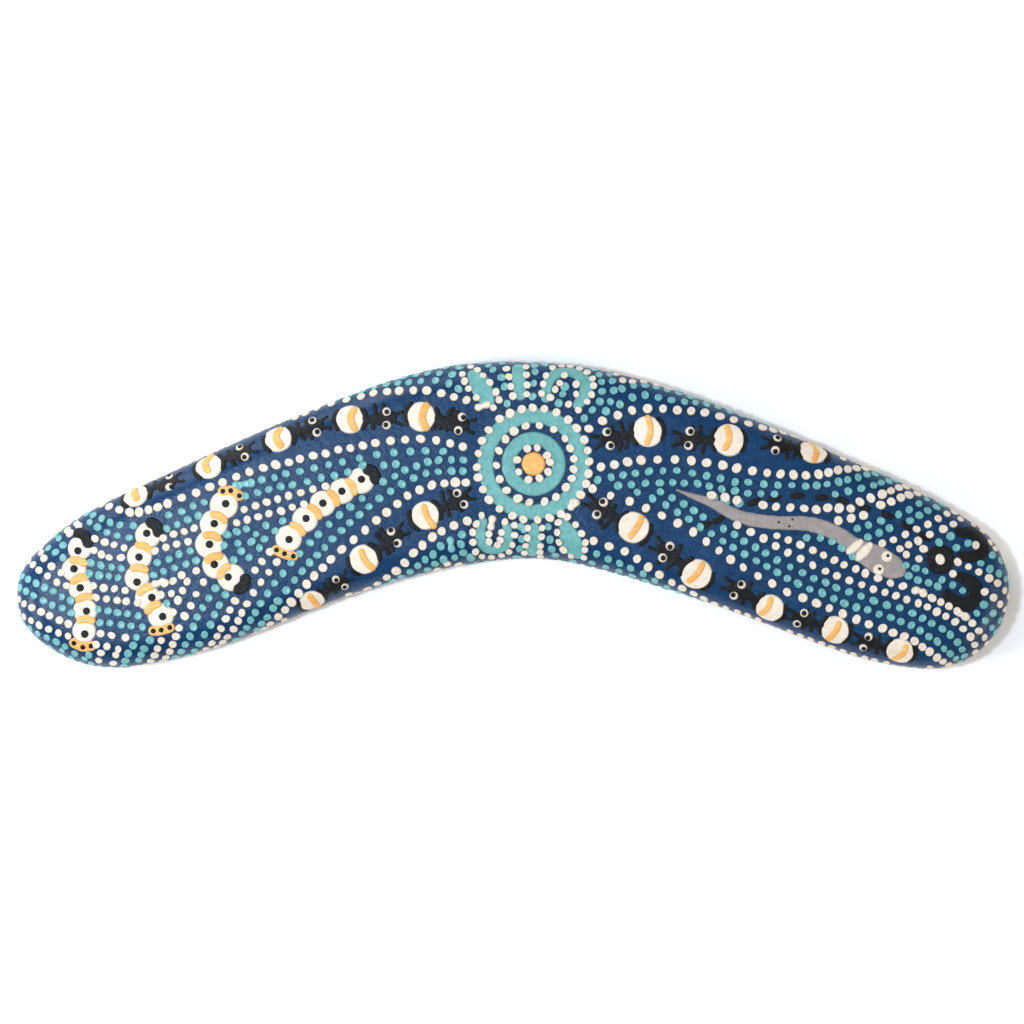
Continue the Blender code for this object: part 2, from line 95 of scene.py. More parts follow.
# Ants: x, y of the abdomen, heading, scale, the ochre stripe across it, and the legs as root along
# the ant, tip along it and tip to its left.
ANTS = {
    "a": ((-133.0, 6.6, 21, 0.90, ((-133.4, 8.4), (-133.2, 6.6), (-132.6, 5.4)),
           (9, 10.4, -3, 12.8, 13.4, -3.2, 8.4, 8.6, 4, 12, 12, 3.8)),
          (-107.3, 17.0, 22, 0.92, ((-106.4, 20.2), (-108.4, 17.8), (-107.6, 15.2)),
           (7.6, 9.4, -3.9, 11.4, 12.2, -3.4, 14.4, 15.6, -4.2, 8.6, 9, 4, 12, 12, 3.6)),
          (-82.5, 26.6, 18, 0.94, ((-82.2, 29.6), (-83.4, 27.0), (-81.9, 24.2)),
           (7.6, 9.2, -3.6, 11.2, 11.9, -4, 8.4, 8.2, 4.2, 11.6, 11.8, 3.8)),
          (-57.5, 33.4, 1, 0.94, ((-56.2, 36.4), (-57.2, 33.6), (-56.0, 30.4)),
           (8.8, 9.2, 5.7, 12.6, 12.6, 5.3, 8.4, 8.6, -3.8, 12.6, 12.8, -3.2)),
          (-32.2, 34.4, -11, 0.97, ((-30.7, 38.0), (-32.0, 34.4), (-30.8, 30.4)),
           (9.8, 10.4, 4.8, 12, 12.5, 4, 9.2, 9.8, -3.4, 7, 7.5, -3.4, 13.6, 14.3, -3.8))),
    "b": ((-70.6, -30.9, 37, 0.84, ((-71.6, -28.9), (-70.1, -30.9), (-69.0, -32.5)),
           (8, 8.4, 4.4, 11, 11.2, 4.2, 9.5, 9.8, -3.4)),
          (-52.5, -16.0, 36, 0.94, ((-53.4, -13.2), (-52.0, -16.5), (-49.6, -18.9)),
           (9.5, 9.2, 5.4, 12, 11.6, 5.8, 8, 8.8, -3.8, 10.4, 10.8, -4)),
          (-31.0, -0.5, 25, 0.94, ((-31.4, 2.4), (-30.0, -1.5), (-28.0, -4.2)),
           (8.4, 9.2, 5.4, 11.4, 11.8, 4.6, 8.8, 8.2, -4, 12.4, 13.4, -4.5))),
    "c": ((106.0, 22.0, 172, 0.96, ((105.2, 24.2), (106.8, 22.0), (106.0, 19.0)),
           (7.6, 7.6, 4.6, 10, 10, 4.8, 9, 9, -3.4, 11.6, 11.8, -3.2)),
          (75.8, 26.1, 178, 1.0, ((75.2, 30.2), (76.2, 27.0), (74.6, 23.2)),
           (9.6, 10.1, -4.6, 12.6, 12.8, -4.4, 8.6, 9, 5.2, 12, 12.3, 3.8)),
          (47.2, 29.1, 191, 0.98, ((47.4, 33.8), (48.4, 30.0), (47.2, 25.2)),
           (8.6, 8.9, -4.8, 12, 12.3, -4.2, 7.4, 8.6, 4.4, 10.2, 11, 4.7))),
    "d": ((136.4, -48.6, 164, 0.90, ((138.2, -47.0), (137.2, -49.2), (134.4, -50.8)),
           (9.4, 9.7, -4, 12.4, 12.6, -3.4, 8.6, 8.8, 4, 12.2, 12.4, 3.6)),
          (113.4, -41.0, 161, 0.92, ((114.6, -38.8), (113.4, -41.5), (111.2, -43.8)),
           (9.4, 9.7, -4.2, 12.2, 12.6, -4, 8.6, 8.8, 4.2, 11.6, 12, 4)),
          (90.4, -33.3, 150, 0.95, ((90.6, -30.2), (90.0, -32.4), (87.6, -34.9)),
           (10.4, 10.8, -4.8, 13, 13.7, -4, 9, 9.8, 4.4, 12, 12.6, 4.2)),
          (64.6, -21.4, 143, 0.98, ((66.6, -17.8), (64.9, -21.0), (62.2, -23.4)),
           (10.4, 10.7, -5, 13, 13.8, -4, 12, 13.6, 4.8, 8.8, 10, 5.1)),
          (42.6, -5.0, 150, 1.0, ((45.2, -1.4), (43.5, -5.0), (41.4, -7.8)),
           (9.6, 9.8, -3.6, 12.2, 12.4, -4.3, 9, 9.7, 5.4, 11.4, 11.8, 4.6))),
}
STRIPE_HALF = {"a": 1.4, "b": 1.2, "c": 1.15, "d": 1.15}
ABDOMEN_RADIUS, ABDOMEN_STRETCH = 5.2, 0.3
FRONT_ARC = (5.75, 0, 34, 1.15)      # radius, middle and half-span in degrees, half-width
REAR_ARC = (5.8, 180, 37, 1.05)
ANT_SPINE = ((5.8, 1.5), (7.4, 1.45), (9.0, 1.7), (10.6, 2.0), (12.4, 2.9), (14.2, 2.9), (15.9, 1.9))
LEG_HALF = 0.8
FEELER = (15.4, 29, 4.7, 0.7)        # root along the ant, spread in degrees, length, half-width
EYE_PLACE, EYE_RADIUS, PUPIL_RADIUS = (14.0, 2.5), 1.65, 1.0

# Grubs: the middles of the five body rings, ring radius, ochre bands, black spots, the black end
# and the ochre end.
GRUBS = (
    (((-152.5, -12.0), (-154.5, -19.5), (-152.2, -26.3), (-150.6, -34.0), (-151.0, -41.2)), 4.3,
     ((-153.0, -16.8), (-152.6, -23.0), (-150.8, -29.6), (-150.4, -37.4)),
     ((-153.2, -13.0), (-154.6, -19.3), (-152.4, -26.0), (-150.2, -34.2), (-150.8, -42.3)),
     ((-153.0, -6.8), (-150.8, -8.0), (-149.8, -10.2)), ((-154.6, -45.4), (-151.5, -46.8), (-148.6, -46.4))),
    (((-128.5, -7.5), (-131.5, -15.0), (-132.4, -22.6), (-128.6, -29.4), (-124.0, -35.9)), 4.5,
     ((-130.0, -11.8), (-131.6, -19.4), (-129.4, -26.6), (-126.8, -32.9)),
     ((-129.0, -6.8), (-131.7, -15.2), (-132.4, -24.0), (-127.2, -29.4), (-123.4, -36.1)),
     ((-127.4, -3.2), (-125.6, -4.4), (-125.0, -6.4)), ((-126.7, -41.2), (-123.9, -40.9), (-120.9, -40.0))),
    (((-101.8, 3.1), (-105.4, -3.5), (-107.0, -10.7), (-104.6, -18.0), (-99.2, -22.3)), 4.9,
     ((-103.6, -1.2), (-106.0, -8.0), (-105.4, -15.6), (-101.8, -20.2)),
     ((-101.2, 3.6), (-105.2, -3.4), (-106.9, -10.7), (-105.2, -17.8), (-100.3, -22.2)),
     ((-94.4, -23.0), (-94.8, -25.0), (-96.6, -26.4)), ((-102.2, 8.0), (-99.4, 8.2), (-96.4, 6.4))),
    (((-53.5, 11.7), (-60.2, 8.0), (-67.0, 3.6), (-73.2, -1.9), (-79.0, -8.6)), 4.7,
     ((-57.0, 9.6), (-63.2, 5.6), (-69.8, 0.8), (-75.8, -5.2)),
     ((-53.4, 12.2), (-60.3, 8.0), (-67.0, 3.8), (-72.9, -1.6), (-78.9, -9.0)),
     ((-51.2, 15.6), (-49.4, 14.6), (-48.6, 12.4)), ((-83.3, -12.7), (-80.5, -14.0), (-77.4, -14.9))),
)
GRUB_SPOT = 1.35
GRUB_BAND = (2.1, 1.55)              # half-length and half-width of an ochre band
BLACK_END_HALF, OCHRE_END_HALF, END_SPOT = 2.1, 1.8, 0.95

# Strokes: x, y and half-width along each one.
SNAKE = (
    (57.5, 8.5, 0.3), (64.0, 6.0, 1.1), (70.0, 3.9, 1.7), (75.0, 1.3, 2.1), (80.0, -1.0, 2.3),
    (87.0, -2.5, 2.4), (95.0, -3.2, 2.4), (103.0, -3.4, 2.6), (110.0, -5.2, 2.7),
    (115.0, -7.6, 2.8), (119.5, -10.7, 2.9), (122.5, -12.8, 3.6), (126.0, -14.8, 4.4),
    (130.0, -17.0, 4.7), (134.0, -19.0, 3.8), (136.6, -20.4, 1.8),
)
SNAKE_COLLARS = (((122.3, -9.8, 1.1), (120.4, -11.5, 1.6), (118.4, -13.2, 1.3)),
                 ((125.6, -11.0, 1.2), (123.6, -13.3, 1.8), (121.4, -15.4, 1.4)))
SNAKE_EYES = ((131.6, -15.0), (128.7, -19.6))
SNAKE_MARKS = ((93.5, -2.9), (98.3, -2.0), (97.2, -4.3))
SNAKE_EYE, SNAKE_PUPIL, PUPIL_SHIFT, SNAKE_MARK = 2.05, 0.6, 0.3, 0.45

PETALS = {
    "top_left": ((-14.0, 49.2, 2.2), (-12.4, 47.0, 3.5), (-10.4, 43.2, 3.6), (-8.8, 39.6, 2.4)),
    "top_middle": ((2.0, 51.4, 2.4), (2.0, 47.0, 2.6), (2.6, 42.0, 2.1)),
    "top_right": ((11.6, 40.8, 1.7), (12.2, 45.6, 1.9), (15.4, 49.4, 2.1), (20.4, 50.0, 2.4),
                   (24.6, 47.8, 2.4), (25.6, 43.6, 2.4), (22.8, 38.4, 1.9)),
    "bottom_left": ((-10.6, -2.6, 1.6), (-11.4, -8.4, 2.0), (-8.2, -12.6, 1.9),
                     (-3.4, -11.6, 1.9), (-1.8, -7.6, 1.9), (-2.2, -4.4, 1.6)),
    "bottom_middle": ((7.6, -4.8, 1.8), (7.4, -9.0, 2.4), (6.9, -13.4, 2.6)),
    "bottom_right": ((17.7, -2.6, 1.3), (19.0, -6.0, 2.9), (20.5, -10.0, 3.9),
                      (22.2, -13.4, 3.2)),
}
TRACK_DISC = (150.3, -16.0, 5.2)
TRACK_HOOKS = {
    "upper": ((157.2, -6.3, 1.9), (160.4, -6.3, 2.4), (164.2, -8.0, 2.7), (165.8, -11.0, 2.5),
              (164.2, -14.4, 2.1), (160.2, -15.0, 1.9), (157.5, -14.8, 1.4)),
    "lower": ((156.8, -22.0, 1.6), (160.2, -23.6, 2.4), (162.8, -27.2, 2.8), (161.0, -31.2, 2.8),
              (156.4, -31.4, 2.6), (152.6, -28.4, 1.9)),
}
DASHES = ((67.5, -4.0), (72.2, -2.1), (84.6, 4.1), (91.9, 5.5), (100.1, 6.4), (108.5, 5.7),
          (115.8, 4.8), (123.8, 2.2), (131.8, -0.4), (138.6, -4.2), (145.0, -8.0))
DASH = (1.7, 1.25)                    # half-length and half-width

# Dot rows: x, y, then for each next point how many dots on it is, x, y.
BIG_CREAM = (
    (-17.5, 23.5, 1, -22, 25, 5, -48.5, 25, 4, -66, 21.5, 5, -88, 16, 5, -111.5, 7.5, 2, -121.5, 3.5,
     4, -135, 0.5, 3, -145, 3),
    (-16.5, 40, 2, -25.5, 42.5, 3, -40, 43.5, 3, -53.5, 41.5, 3, -69, 37),
    (-16.5, 11, 2, -24, 11, 2, -33, 8.5, 4, -48, -2.5, 4, -64, -16, 5, -78, -31, 3, -85.5, -38.5),
    (-16, -2.5, 2, -25, -6, 3, -35, -14, 4, -48, -24.5),
    (26.5, 30, 3, 42, 36.5, 2, 53, 37, 3, 67.5, 35.5, 4, 88, 30.5, 2, 95.5, 28.5),
    (31, 16.5, 3, 45, 19, 4, 68.5, 18, 4, 89.5, 14.5, 4, 107.5, 14, 5, 124, 16),
    (28, 9, 2, 41, 4.5, 4, 63.5, -6.5, 4, 81, -19, 4, 102, -29.5, 4, 121, -37, 2, 130, -40.5,
     3, 141.5, -45, 4, 151.5, -52),
    (28.5, -9.5, 2, 39, -13.5, 4, 56, -24, 3, 67.5, -30),
    (70, 6.5, 2, 79, 5), (88, 3, 3, 102.5, 2, 4, 119, 2), (122, 4.5, 2, 130, 7, 3, 138.5, 9.5),
    (114.5, -2.5, 2, 123.5, -0.5), (129.5, 3, 4, 142.5, 7),
    (79, -4, 2, 88, -8.5),
)
CREAM = (
    (-66, 9.5, 3, -79, 6.5, 4, -94.5, 1.5), (-112, -5, 3, -123, -8.5), (-137, -12, 3, -147, -9),
    (-73.5, 3.5, 3, -86, 0, 3, -97.5, -3), (-114.5, -9.5, 3, -126, -13),
    (-138, -15.5, 1, -142, -15.5, 2, -147.5, -13),
    (-111.5, -20, 1, -116.5, -21.5, 1, -119.5, -23.5, 2, -126, -24.5), (-136.5, -27, 3, -147.5, -25.5),
    (-109, -24), (-114.5, -24), (-116.5, -27, 2, -124, -28.5), (-132.5, -31.5, 4, -146.5, -29.5),
    (-111.5, -28.5, 3, -117.5, -40, 3, -121, -48.5), (-118, -30.5, 1, -119.5, -34.5),
    (-124, -44.5, 2, -126.5, -50),
    (-145.5, -42, 2, -136.5, -43.5), (-147, -46, 2, -139, -47.5), (-145, -49, 1, -140, -49.5),
    (-146, -51.5, 1, -141, -52.5),
    (-85.5, -13.5, 2, -91, -20), (-98, -30.5, 4, -104.5, -43),
    (-83.5, -17, 4, -93.5, -31.5, 4, -100.5, -43), (-23.5, -17.5, 1, -27, -19.5),
    (-153, -4.5, 1, -156, -7), (-154, -3.5, 1, -157, -6), (-166, -14, 1, -165, -16, 2, -159, -20.5),
    (-169, -18, 2, -164, -22, 2, -157, -25.5), (-172, -31.5, 5, -156.5, -38.5),
    (-174, -34.5, 6, -156.5, -43),
    (36.5, 49, 1, 38.5, 47, 2, 46, 46.5, 2, 55, 44),
    (93, -7.5, 4, 109.5, -14.5, 4, 124, -21, 4, 141.5, -27, 3, 150.5, -31, 3, 159, -36, 2, 164, -41,
     2, 167, -45.5),
    (92.5, -11.5, 4, 110, -20, 4, 127, -26.5, 4, 142.5, -31.5, 4, 155.5, -38, 3, 162.5, -46,
     1, 163, -48.5),
    (130, -10.5, 4, 146, -3.5, 3, 155.5, 0.5),
    (136, -12.5, 2, 142.5, -9.5, 1, 147, -7, 2, 155, -3.5, 2, 159.5, -1.5),
    (138.5, -14.5), (143, -16), (144.5, -12.5), (163, -11), (155, -21),
    (156.5, -17, 4, 170.5, -24.5, 2, 174.5, -29), (168, -10), (170, -12.5),
    (166, -27.5, 2, 171.5, -31.5, 2, 174, -35.5),
)
TURQUOISE = (
    (-19.5, 44, 1, -22.5, 46, 2, -32.5, 46.5, 3, -44.5, 45.5, 2, -53.5, 43, 2, -61, 40.5),
    (-21.5, 49, 2, -30, 49.5, 2, -38.5, 48), (-19, 51.5, 1, -23.5, 51.5),
    (-24.5, 22, 3, -42, 21.5, 3, -60, 18.5, 4, -80, 14, 4, -96.5, 10), (-108.5, 4, 3, -121, -0.5),
    (-133.5, -4, 1, -138.5, -4, 2, -145, -1.5),
    (-17.5, 19, 2, -26, 19, 3, -38, 15.5), (-41, 17.5, 1, -45.5, 17),
    (-53, 17, 1, -58, 15, 4, -77.5, 10.5, 4, -94, 6), (-111, -0.5, 3, -122, -5),
    (-135, -8.5, 2, -143, -6.5, 2, -149, -3),
    (-81, -2.5, 1, -87, -4, 1, -94, -5.5, 2, -100.5, -7.5), (-113.5, -13, 3, -125, -17),
    (-138, -19, 3, -148.5, -17.5),
    (-84, -6, 1, -90.5, -7), (-87.5, -9, 3, -101.5, -11), (-111.5, -16.5, 4, -126.5, -21.5),
    (-139, -22.5, 3, -149, -21), (-89.5, -12, 1, -95.5, -13), (-93, -15.5, 1, -98, -16),
    (-122, -31.5), (-146, -33.5, 4, -132, -36), (-145.5, -38, 4, -130.5, -40),
    (-132.5, -43.5, 1, -128, -44.5), (-134, -46.5, 1, -130, -47.5), (-135.5, -49, 1, -131, -49.5),
    (-136.5, -51.5, 1, -132, -51.5),
    (-105, -26, 3, -111, -36.5, 2, -114, -43), (-101.5, -28.5, 4, -108.5, -42.5),
    (-53, 5.5, 4, -68.5, -7, 4, -81, -21, 3, -89, -31.5, 3, -94, -40),
    (-17.5, 15, 2, -26, 15, 2, -35, 12.5, 4, -50.5, 2.5, 4, -63.5, -9, 4, -74, -20, 3, -82.5, -30.5,
     3, -88.5, -38.5),
    (-41.5, 13.5, 1, -45.5, 11.5),
    (-18, -7, 2, -17.5, -13.5, 1, -15.5, -15), (-25.5, -11.5, 5, -39.5, -22),
    (-20.7, -15.2, 1, -24.5, -15.6, 2, -30.2, -19.5),
    (-160, -9, 1, -158.5, -11), (-163.5, -12, 2, -158.5, -15.5), (-168, -24.5, 4, -155.5, -30.5),
    (-168.5, -29, 4, -155.5, -35), (-167.5, -42, 3, -157.5, -46.5), (-163, -47, 3, -149.5, -49.5),
    (-151, -51),
    (25, 33.5, 3, 31.5, 43, 2, 30, 49), (32.5, 36, 2, 35.5, 43.5, 2, 34, 49),
    (37.5, 38.5, 1, 42, 41, 3, 56, 40, 3, 68, 38.5, 3, 80.5, 34.5), (38.5, 44, 1, 42.5, 45, 5, 62.5, 41),
    (30, 12, 3, 43, 14.5, 3, 58, 15, 4, 78, 11.5, 4, 98.5, 10, 2, 107, 10, 3, 118, 12, 3, 127.5, 14),
    (37, 10, 3, 51.5, 11, 3, 65, 10.5, 3, 78, 8, 3, 92, 7), (113.5, 7, 3, 127, 10, 2, 132.5, 11.5),
    (44, 7.5, 2, 54, 3, 4, 70, -7, 4, 85.5, -16.5, 4, 100.5, -24.5, 4, 117, -31.5, 4, 133, -36.5,
     4, 146.5, -43, 4, 156, -51),
    (52, 7.5, 2, 60, 3.5, 2, 67, -1),
    (74, -5, 4, 89, -14, 4, 106, -22.5, 4, 122.5, -29, 4, 140.5, -35, 3, 151, -40.5, 2, 156.5, -45,
     2, 159, -50),
    (29.5, -14, 3, 41.5, -19, 4, 58.5, -27.5), (28, -17, 2, 37.5, -20, 2, 47, -23.5),
    (103.5, -8.5, 1, 108, -8.5, 3, 119.5, -15), (138.5, -18, 2, 145, -20), (139.5, -22, 3, 149.5, -25.5),
    (151, -23, 2, 158.5, -27), (121, -5, 2, 129.5, -2.5), (135.5, -0.5, 2, 143, 3.5, 2, 148, 5.5),
    (125, -8, 2, 132.5, -5), (139.5, -2.5, 3, 149, 2.5), (150, -10, 1, 154, -8), (156, -12, 1, 160, -10.5),
    (164.5, -17.5, 3, 173.5, -23), (168.5, -14.5, 1, 171.5, -16.5), (165.5, -32, 3, 172.5, -39),
    (163, -35, 3, 170, -41.5),
    (-7, 50.5, 1, -9, 52), (-4, 48, 1, -3, 45), (-2, 39), (-4, 53), (7.5, 52, 1, 8, 50, 1, 7.5, 46,
     1, 7, 41.5), (11, 52.5), (18.5, 45, 1, 17.5, 42, 1, 16, 39), (2.5, -4.5, 1, 3, -9, 1, 2.5, -12),
    (12.5, -4.5, 1, 13, -9, 1, 13.5, -12.5), (-15, -15.5), (1.5, -15), (15, -14.5),
)
# The cream dots that outline the petals.
PETAL_DOTS = (
    (-12.8, 41, 1, -15.5, 44.2, 2, -18, 49), (-15, 51.5, 1, -12.5, 50.5, 1, -10.5, 48.5, 2, -6, 43,
     1, -5, 40, 1, -7, 37.5),
    (-2, 51, 3, 0, 41.5), (4.5, 51.5, 3, 5, 42),
    (10, 42.5, 2, 11.5, 48.5, 2, 17, 52, 2, 23.5, 51, 2, 28, 47.5, 2, 27.5, 42, 1, 26, 39.5),
    (13, 41, 3, 18, 48.5), (22.5, 45.5, 1, 22, 42, 1, 19.5, 38.5, 1, 23, 36.5),
    (-11, -0.5, 1, -13, -3.5, 2, -14, -10, 1, -13.5, -13, 2, -7.5, -15, 2, -1.5, -13, 2, 0.5, -7.5,
     1, 0.5, -4, 1, -3, -3),
    (-8.5, -7, 1, -8.5, -10, 1, -5.5, -11, 1, -4.5, -9, 1, -4, -6.5),
    (5.4, -5.0, 3, 4, -13.5), (10, -5.0, 4, 9.5, -15),
    (16, -3, 1, 15.5, -6.5, 1, 16, -10, 2, 20.5, -14.5), (19, -1, 3, 25.5, -10, 2, 25, -15),
)
# Dots that ran together: the two ends of each.
MERGED_CREAM = (
    ((-7.3, -1.8), (-7.8, -4.6)), ((22.2, 4.0), (20.4, 2.4)), ((142.0, -26.8), (144.4, -27.6)),
    ((157.2, -35.0), (159.6, -36.4)), ((-12.2, 37.5), (-9.0, 38.5)), ((-125.4, -24.6), (-123.4, -23.8)),
)
MERGED_TURQUOISE = (
    ((-22.1, -9.2), (-21.7, -12.3)), ((-97.6, 10.2), (-93.4, 10.6)), ((3.0, -4.4), (3.9, -5.6)),
)
SHOWING = ((70.5, 5.8), (74.6, 4.3), (79.4, 4.0))     # turquoise that shows from under cream dots
SHOWING_RADIUS = 1.8
MERGED_RADIUS, MERGED_WAIST = 1.4, 1.05
BIG_DOT, DOT, PETAL_DOT = 1.60, 1.41, 1.30
TRACK_DOT, TRACK_JITTER = 2.1, 0.05
RING_STAMPS = 160
DOT_HEIGHT, DOT_MIDDLE = 0.68, 0.70  # height in millimetres, and the middle's share of it
DOT_SIDES = 20
# Section of a dot that a stick end printed: radius fraction, height fraction, from the edge in.
DOT_PROFILE = ((1.0, 0.0), (0.985, 0.33), (0.95, 0.62), (0.88, 0.89), (0.78, 1.0), (0.64, 0.93),
               (0.46, 0.80), (0.26, 0.75), (0.11, 0.82))
DOT_JITTER, DOT_SPREAD, DOT_SIZES = 0.13, 0.055, (0.86, 1.16)
DOT_OVAL, DOT_DROP, LONG_DROP, LONG_SHARE, DOT_ROUGH = 0.11, 0.07, 0.09, 0.2, 0.012
DOT_HEIGHTS, RIM_DOT_THINNEST, THIN_WITHIN = (0.85, 1.15), 0.4, 15
RIM_ROWS = ((1.6, 4.0), (-1.9, 4.0), (-5.4, 4.0), (-8.8, 4.0))   # unrolled distance in, spacing
RIM_CAP_STEPS = 200
RIM_LOWEST = -9.2        # unrolled distance in of the lowest dots
RIM_CLEAR = 3.5          # least distance between a rim dot and any other dot
# Boxes of x from, x to, y from, y to, in which the top rim row is left out.
BARE_RIM = ((-150.0, -72.0, -10.0, 60.0), (-77.0, -49.0, -60.0, -10.0))
ROW_CLEAR = 2.7          # least distance between any dot and one that carries on a row
ROW_STEP = (3.3, 4.3)
OVER_EDGE_FROM, OVER_EDGE_MOST, OVER_EDGE_ROOM, HEADS_OUT = 7.0, 6, 3.6, 0.3
ANT_MARKS = ((-6.5, -3, 0, 3, 6.5, 9.5, 12.5, 15.5, 19), (-4, 0, 4))     # along and across an ant

STAMP_STEP, STROKE_WANDER = 0.15, 0.03
# Thick paint: rise, width of its rounded shoulder, height of what it lies on, mesh spacing.
THICK = {
    "spot": (0.4, 1.0, 0, 0.3), "band": (0.22, 0.6, 0, 0.3), "merged": (0.6, 0.8, 0, 0.3),
    "showing": (0.16, 0.5, 0, 0.3), "abdomen": (0.34, 0.8, 0, 0.3), "stripe": (0.22, 0.6, 0.3, 0.3),
    "ant": (0.32, 0.55, 0, 0.3), "eye": (0.3, 0.7, 0.25, 0.2), "pupil": (0.25, 0.5, 0.5, 0.2),
    "grub": (0.43, 1.3, 0, 0.3), "grub band": (0.2, 0.5, 0.36, 0.3), "grub spot": (0.22, 0.5, 0.44, 0.2),
    "black end": (0.3, 0.6, 0.3, 0.3), "ochre end": (0.26, 0.6, 0.2, 0.3),
    "end spot": (0.2, 0.4, 0.4, 0.2), "snake": (0.4, 1.2, 0, 0.3), "collar": (0.15, 0.4, 0.36, 0.2),
    "snake eye": (0.25, 0.6, 0.36, 0.2), "snake pupil": (0.2, 0.3, 0.58, 0.15),
    "snake mark": (0.12, 0.3, 0.38, 0.15), "track": (0.34, 0.8, 0, 0.3), "dash": (0.2, 0.5, 0, 0.25),
}
BODY_RISE, GRUB_RISE = (0.26, 0.38), (0.36, 0.5)      # these vary from stroke to stroke
ON_BAND, ON_PETAL, ON_TRACK = 0.15, 0.12, 0.32        # height of the paint that some dots lie on
PATCH_EDGE = 0.2         # greatest value of the edge attribute away from printed dots


def unit(vectors):
    return vectors / np.maximum(np.linalg.norm(vectors, axis=-1, keepdims=True), 1e-9)


def natural_spline(knots, values, where):
    """Cubic spline through values at knots, with free ends, read at where."""
    count = len(knots)
    span = np.diff(knots)
    system = np.eye(count)
    bend = np.zeros_like(values)
    for i in range(1, count - 1):
        system[i, i - 1:i + 2] = span[i - 1], 2 * (span[i - 1] + span[i]), span[i]
        rise_out = (values[i + 1] - values[i]) / span[i]
        rise_in = (values[i] - values[i - 1]) / span[i - 1]
        bend[i] = 6 * (rise_out - rise_in)
    second = np.linalg.solve(system, bend)
    k = np.clip(np.searchsorted(knots, where) - 1, 0, count - 2)
    after = ((where - knots[k]) / span[k])[:, None]
    before = 1 - after
    cubic = (before ** 3 - before) * second[k] + (after ** 3 - after) * second[k + 1]
    return before * values[k] + after * values[k + 1] + cubic * (span[k] ** 2 / 6)[:, None]


def chord_knots(rows):
    lengths = np.linalg.norm(np.diff(rows[:, :2], axis=0), axis=1)
    return np.concatenate(((0.0,), np.cumsum(lengths)))


def wobble(points, wavelength, seed):
    """Smooth noise between about -1 and 1 at plan points."""
    waves = np.random.default_rng(seed)
    angles = waves.uniform(0, 2 * math.pi, 7)
    stretch = waves.uniform(0.6, 1.7, 7) * 2 * math.pi / wavelength
    phases = waves.uniform(0, 2 * math.pi, 7)
    along = points[:, :1] * np.cos(angles) + points[:, 1:2] * np.sin(angles)
    return np.sin(along * stretch + phases).sum(axis=1) / 3.5


